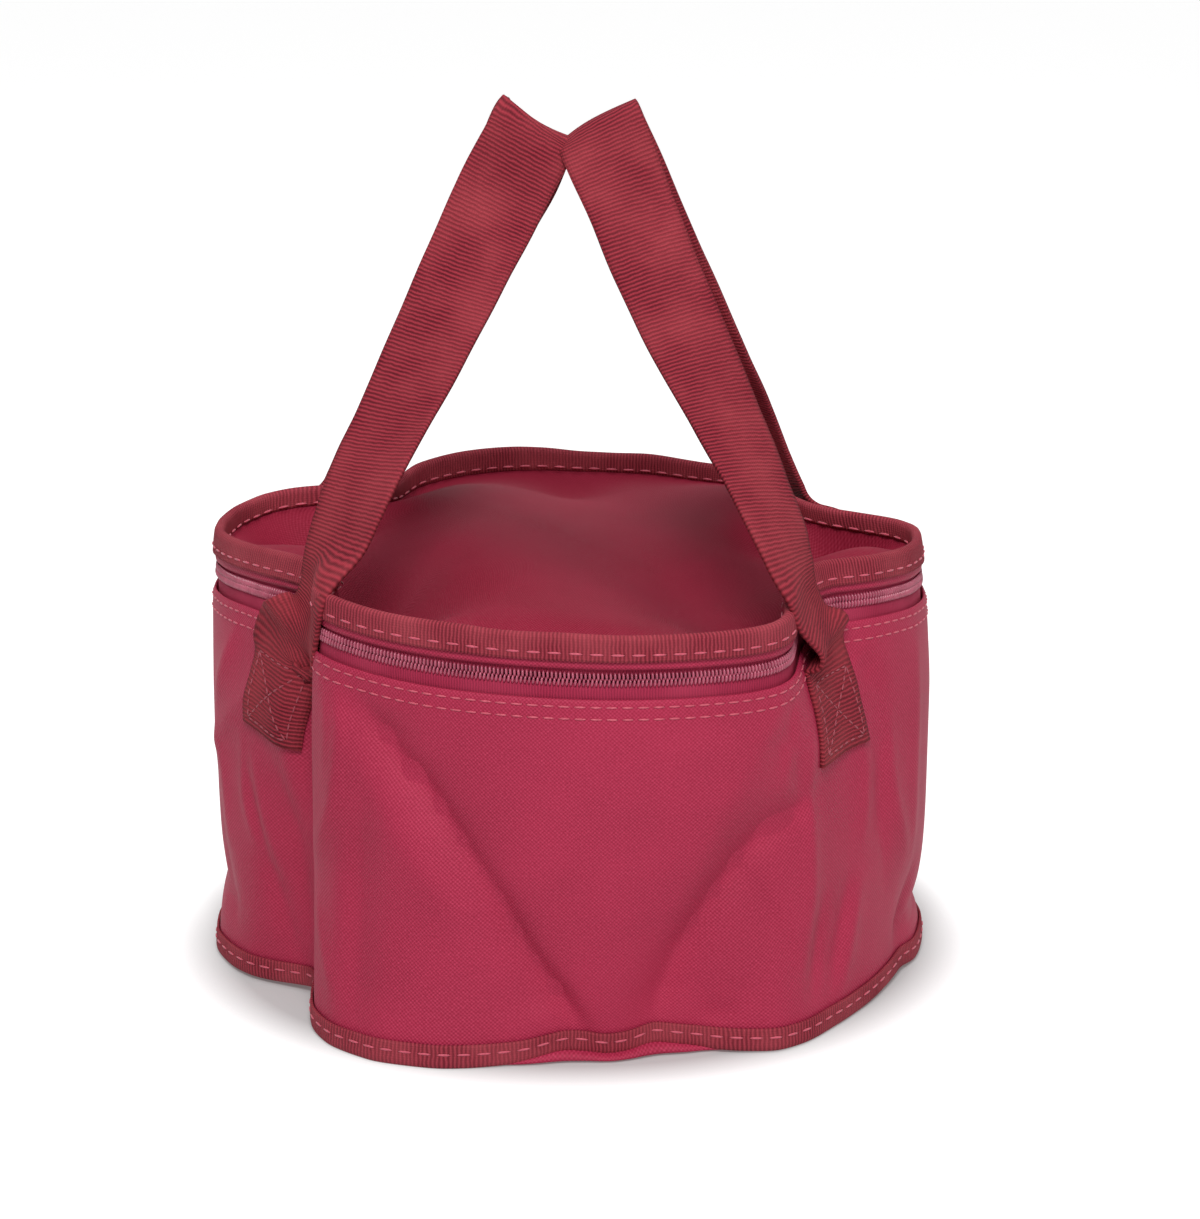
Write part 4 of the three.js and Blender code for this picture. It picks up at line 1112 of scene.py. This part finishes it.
# %% [markdown]
# ## Materials
#
# Colours are written as they would be picked on a screen, and turned to the linear values that the
# shader mixes. One helper adds a node, sets its options, and links or fills its inputs. Each finish
# then works out a colour and a height, and ends in the same two links.

# %% Helpers for materials
def linear(hex_colour):
    """A screen colour as the linear values of a shader."""
    values = [int(hex_colour[k:k + 2], 16) / 255 for k in (1, 3, 5)]
    return (*[v / 12.92 if v <= 0.04045 else ((v + 0.055) / 1.055) ** 2.4 for v in values], 1)


def add_node(tree, kind, inputs=None, **options):
    """A node with its options; each input is a value or another node's output."""
    node = tree.nodes.new("ShaderNode" + kind)
    for name, value in options.items():
        setattr(node, name, value)
    for name, value in (inputs or {}).items():
        if isinstance(value, bpy.types.NodeSocket):
            tree.links.new(value, node.inputs[name])
        else:
            node.inputs[name].default_value = value
    return node


def new_material(name, shader_values):
    """A material whose even qualities are set on the shader's own sockets."""
    material = bpy.data.materials.new(name)
    material.use_nodes = True
    tree = material.node_tree
    shader = tree.nodes["Principled BSDF"]
    for socket, value in shader_values.items():
        shader.inputs[socket].default_value = value
    return material, tree, shader


def dress(tree, shader, colour, height, strength, deep):
    """Links a finish's colour and its relief, which is this many millimetres deep."""
    bump = add_node(tree, "Bump", {"Height": height, "Strength": strength, "Distance": deep * MM})
    tree.links.new(colour, shader.inputs["Base Color"])
    tree.links.new(bump.outputs[0], shader.inputs["Normal"])


# %% [markdown]
# ### Woven polyester
#
# The wall is plain-woven textured polyester, coated on the inside. Its threads are about half a
# millimetre wide, which is finer than this view can show, so they are drawn 1.3 mm apart. Crossing
# threads catch light in a fine slanting grid, and the bulky yarn gives a soft sheen at grazing
# angles and a slightly cloudy colour. The lid has the same cloth in darker colours, as painted
# shade on its upward-facing top, and is duller.

# %% Woven polyester
WEAVE = 1.3


def threads(tree, flat, apart_along, apart_up):
    """Two sets of ridges, from the cloth's flat coordinates in millimetres."""
    parts = add_node(tree, "SeparateXYZ", {"Vector": flat})
    ridges = []
    for axis, apart in (("X", apart_along), ("Y", apart_up)):
        turned = add_node(tree, "Math", {0: parts.outputs[axis], 1: 2 * math.pi / apart},
                          operation="MULTIPLY")
        ridges.append(add_node(tree, "Math", {0: turned.outputs[0]}, operation="SINE").outputs[0])
    return ridges


def woven_cloth(name, dark, middle, light, tint, gloss):
    """Dark and middle are the cloudy ground, light is the crown of a crossing."""
    material, tree, shader = new_material(name, {
        "Roughness": 0.62, "Sheen Weight": 0.03, "Sheen Roughness": 0.4, "Sheen Tint": linear(tint),
        "Specular IOR Level": gloss})
    flat = add_node(tree, "UVMap", uv_map="cloth").outputs["UV"]
    along, up = threads(tree, flat, WEAVE, WEAVE)
    crossing = add_node(tree, "Math", {0: along, 1: up}, operation="MULTIPLY")
    place = add_node(tree, "TexCoord").outputs["Object"]
    cloudy = add_node(tree, "TexNoise", {"Vector": place, "Scale": 26.0, "Detail": 3.0,
                                         "Roughness": 0.55})
    slubs = add_node(tree, "TexNoise", {"Vector": flat, "Scale": 1.1, "Detail": 2.0})
    shade = add_node(tree, "MapRange", {"Value": cloudy.outputs["Fac"], "From Min": 0.32,
                                        "From Max": 0.68})
    ground = add_node(tree, "Mix", {0: shade.outputs[0], 6: linear(dark), 7: linear(middle)},
                      data_type="RGBA")
    lit = add_node(tree, "MapRange", {"Value": crossing.outputs[0], "From Min": -1.0,
                                      "From Max": 1.0, "To Min": 0.0, "To Max": 1.2})
    broken = add_node(tree, "Math", {0: lit.outputs[0], 1: slubs.outputs["Fac"]},
                      operation="MULTIPLY")
    colour = add_node(tree, "Mix", {0: broken.outputs[0], 6: ground.outputs[2], 7: linear(light)},
                      data_type="RGBA")
    height = add_node(tree, "Math", {0: crossing.outputs[0], 1: slubs.outputs["Fac"]},
                      operation="ADD")
    dress(tree, shader, colour.outputs[2], height.outputs[0], 0.5, 0.14)
    return material


crimson = woven_cloth("woven_polyester_crimson", "#8a0f30", "#9c193b", "#c63e60", "#d84060", 0.27)
# the maroon's darker colours are painted shade on the upward-facing lid
maroon = woven_cloth("woven_polyester_maroon", "#720a22", "#80122c", "#9a2e44", "#b04058", 0.1)
print("woven cloth in two tones")


# %% [markdown]
# ### Ribbed tape and webbing
#
# Binding tape and webbing are woven with thick filling threads, so they show ribs across their
# length: 1.25 mm apart on the binding and 1.38 mm on the handles. Their colour is painted almost
# black-red between the ribs and lighter on their crowns, as painted shade and light of the ribs'
# relief, and both are duller than the wall. The zipper's tape is knitted, with much finer ribs of
# little depth, painted the same way.

# %% Ribbed polyester
def ribbed(name, dark, middle, light, apart, fine, deep):
    """Dark is painted shade between the ribs, middle their crowns, and light the wear over both."""
    material, tree, shader = new_material(name, {
        "Roughness": 0.82, "Sheen Weight": 0.06, "Sheen Roughness": 0.5,
        "Sheen Tint": linear("#b85058"), "Specular IOR Level": 0.2})
    flat = add_node(tree, "UVMap", uv_map="cloth").outputs["UV"]
    wobble = add_node(tree, "TexNoise", {"Vector": flat, "Scale": 0.35, "Detail": 1.0})
    bent = add_node(tree, "VectorMath", {0: wobble.outputs["Color"], 1: (0.7, 0.7, 0.0)},
                    operation="MULTIPLY")
    moved = add_node(tree, "VectorMath", {0: flat, 1: bent.outputs[0]}, operation="ADD")
    ribs, threads_along = threads(tree, moved.outputs[0], apart, fine)
    crown = add_node(tree, "MapRange", {"Value": ribs, "From Min": -1.0, "From Max": 1.0})
    place = add_node(tree, "TexCoord").outputs["Object"]
    cloudy = add_node(tree, "TexNoise", {"Vector": place, "Scale": 45.0, "Detail": 3.0})
    # painted shade: the grooves between the ribs get the dark colour, the crowns the middle one
    ground = add_node(tree, "Mix", {0: crown.outputs[0], 6: linear(dark), 7: linear(middle)},
                      data_type="RGBA")
    faded = add_node(tree, "MapRange", {"Value": cloudy.outputs["Fac"], "From Min": 0.35,
                                        "From Max": 0.75, "To Min": 0.0, "To Max": 0.6})
    colour = add_node(tree, "Mix", {0: faded.outputs[0], 6: ground.outputs[2], 7: linear(light)},
                      data_type="RGBA")
    small = add_node(tree, "Math", {0: threads_along, 1: 0.25}, operation="MULTIPLY")
    height = add_node(tree, "Math", {0: ribs, 1: small.outputs[0]}, operation="ADD")
    dress(tree, shader, colour.outputs[2], height.outputs[0], 0.7, deep)
    return material


# the first colour of each is painted shade in the grooves between its ribs
binding_tape = ribbed("grosgrain_binding", "#661624", "#9e3644", "#ae4a54", 1.25, 0.8, 0.16)
webbing = ribbed("polypropylene_webbing", "#500818", "#992c3a", "#a64048", 1.38, 0.9, 0.24)
zipper_cloth = ribbed("knitted_zipper_tape", "#8a1f3c", "#a82c4a", "#b8405c", 0.9, 0.7, 0.05)
print("three ribbed finishes")


# %% [markdown]
# ### Nylon coil, thread and painted metal
#
# The coil is smooth dyed nylon, a mauve red beside the cloth, and it is the only soft part with
# sharp highlights. Sewing thread is twisted polyester, lighter than the cloth and the bindings. The
# slider is cast zinc under a thin coat of dark red paint, so it shines through it a little.

# %% Nylon, thread and metal
def spotted(name, one, two, scale, values, deep):
    """A finish that changes softly between two colours, with a faint relief."""
    material, tree, shader = new_material(name, values)
    place = add_node(tree, "TexCoord").outputs["Object"]
    cloud = add_node(tree, "TexNoise", {"Vector": place, "Scale": scale, "Detail": 3.0})
    share = add_node(tree, "MapRange", {"Value": cloud.outputs["Fac"], "From Min": 0.35,
                                        "From Max": 0.65})
    colour = add_node(tree, "Mix", {0: share.outputs[0], 6: linear(one), 7: linear(two)},
                      data_type="RGBA")
    dress(tree, shader, colour.outputs[2], cloud.outputs["Fac"], 0.3, deep)
    return material


nylon = spotted("dyed_nylon_coil", "#983a52", "#b04e66", 240.0,
                {"Roughness": 0.34, "IOR": 1.53, "Specular IOR Level": 0.6}, 0.03)
thread = spotted("polyester_thread", "#b84258", "#c85468", 900.0,
                 {"Roughness": 0.6, "Sheen Weight": 0.2, "Sheen Roughness": 0.5}, 0.08)
# on the strap ends the thread has the webbing's own colour, so it shows by its relief
dark_thread = spotted("polyester_thread_dark", "#8a2c3c", "#9c3e4c", 900.0,
                      {"Roughness": 0.6, "Sheen Weight": 0.1, "Sheen Roughness": 0.5}, 0.08)
painted_zinc = spotted("painted_zinc", "#6e2038", "#7d2a42", 160.0,
                       {"Roughness": 0.36, "Metallic": 0.35, "Coat Weight": 0.3,
                        "Coat Roughness": 0.2}, 0.02)

# %% Each piece gets its finish
FINISHES = {
    crimson: ("wall_cloth", "bottom_cloth", "hinge_cloth", "lid_band_cloth"),
    maroon: ("lid_panel_cloth",),
    binding_tape: ("bottom_binding_tape", "back_seam_tape", "rim_binding_tape"),
    webbing: ("strap_left_webbing", "strap_right_webbing"),
    zipper_cloth: ("lower_tape", "upper_tape"),
    nylon: ("lower_coil_loops", "upper_coil_loops", "end_stop_left", "end_stop_right"),
    painted_zinc: ("slider_casting", "pull_tongue"),
    dark_thread: strap_stitches,
}
for material, names in FINISHES.items():
    for name in names:
        pieces[name].data.materials.append(material)
for piece in pieces.values():
    if not piece.data.materials:
        piece.data.materials.append(thread)
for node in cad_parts.values():
    node.data.materials.clear()
    node.data.materials.append(crimson)
print(len(pieces), "pieces have their finish")

# %% [markdown]
# ## Floor and light
#
# The bag stands on a plain pale floor. A wide lamp in front, as high as it is far, gives the folds
# their light and shade, one straight above gives the floor its soft shadow close round the base,
# and a weak one fills in from the right. The background is white because the world and the floor
# look white to the camera, not because more light falls on the bag. Near the bag the floor glows
# less to the camera, which paints a darker ring round the base, a painted shadow added to the
# lamps' own. To light on its way to the bag the floor glows evenly, a painted bounce light.

# %% Floor
def seen_rays(tree):
    """1 for what the camera sees straight or in a gloss, 0 for light on its way to the bag."""
    path = add_node(tree, "LightPath").outputs
    return add_node(tree, "Math", {0: path["Is Camera Ray"], 1: path["Is Glossy Ray"]},
                    operation="MAXIMUM").outputs[0]


floor_material, tree, shader = new_material("white_paper_floor", {
    "Base Color": linear("#b4b4b4"), "Roughness": 0.9, "Specular IOR Level": 0.1})
place = add_node(tree, "TexCoord").outputs["Object"]
distance = add_node(tree, "VectorMath", {0: place}, operation="LENGTH")
# painted shadow: within 0.12 to 0.144 m of the bag's middle the floor glows less to the camera
away = add_node(tree, "MapRange", {"Value": distance.outputs["Value"], "From Min": 0.12,
                                   "From Max": 0.144, "To Min": 0.12, "To Max": 0.85})
# the even glow of 0.25 to light on its way to the bag is a painted bounce light
glow = add_node(tree, "MapRange", {"Value": seen_rays(tree), "To Min": 0.25,
                                   "To Max": away.outputs[0]})
white = add_node(tree, "Emission", {"Color": (1, 1, 1, 1), "Strength": glow.outputs[0]})
both = add_node(tree, "AddShader", {0: shader.outputs[0], 1: white.outputs[0]})
tree.links.new(both.outputs[0], tree.nodes["Material Output"].inputs["Surface"])
bm = bmesh.new()
bmesh.ops.create_grid(bm, x_segments=2, y_segments=2, size=6)
floor = finish_piece(bm, "floor", floor_material)
pieces.pop("floor")
print("floor made")

# %% World and lamps
world = bpy.data.worlds.new("studio")
scene.world = world
world.use_nodes = True
tree = world.node_tree
through = add_node(tree, "LightPath").outputs["Is Transmission Ray"]
seen = add_node(tree, "Math", {0: seen_rays(tree), 1: through}, operation="MAXIMUM")
strength = add_node(tree, "MapRange", {"Value": seen.outputs[0], "To Min": 0.2, "To Max": 1.0})
background = tree.nodes["Background"]
background.inputs["Color"].default_value = (1, 1, 1, 1)
tree.links.new(strength.outputs[0], background.inputs["Strength"])

LIT_PLACE = Vector((0, 0, 0.11))
LAMPS = (
    # name, where it stands, its width, its power in watts
    ("front_lamp", (0.0, -1.4, 1.4), 0.6, 25),
    ("top_lamp", (-0.05, 0.05, 1.5), 1.0, 8.5),
    ("right_lamp", (1.3, -1.0, 0.7), 0.7, 3.0),
)
for name, spot, wide, power in LAMPS:
    lamp = bpy.data.lights.new(name, "AREA")
    lamp.size = wide
    lamp.energy = power
    stand = bpy.data.objects.new(name, lamp)
    stand.location = spot
    stand.rotation_euler = (LIT_PLACE - Vector(spot)).to_track_quat("-Z", "Y").to_euler()
    scene.collection.objects.link(stand)
scene.view_settings.view_transform = "Standard"
print(len(LAMPS), "lamps")
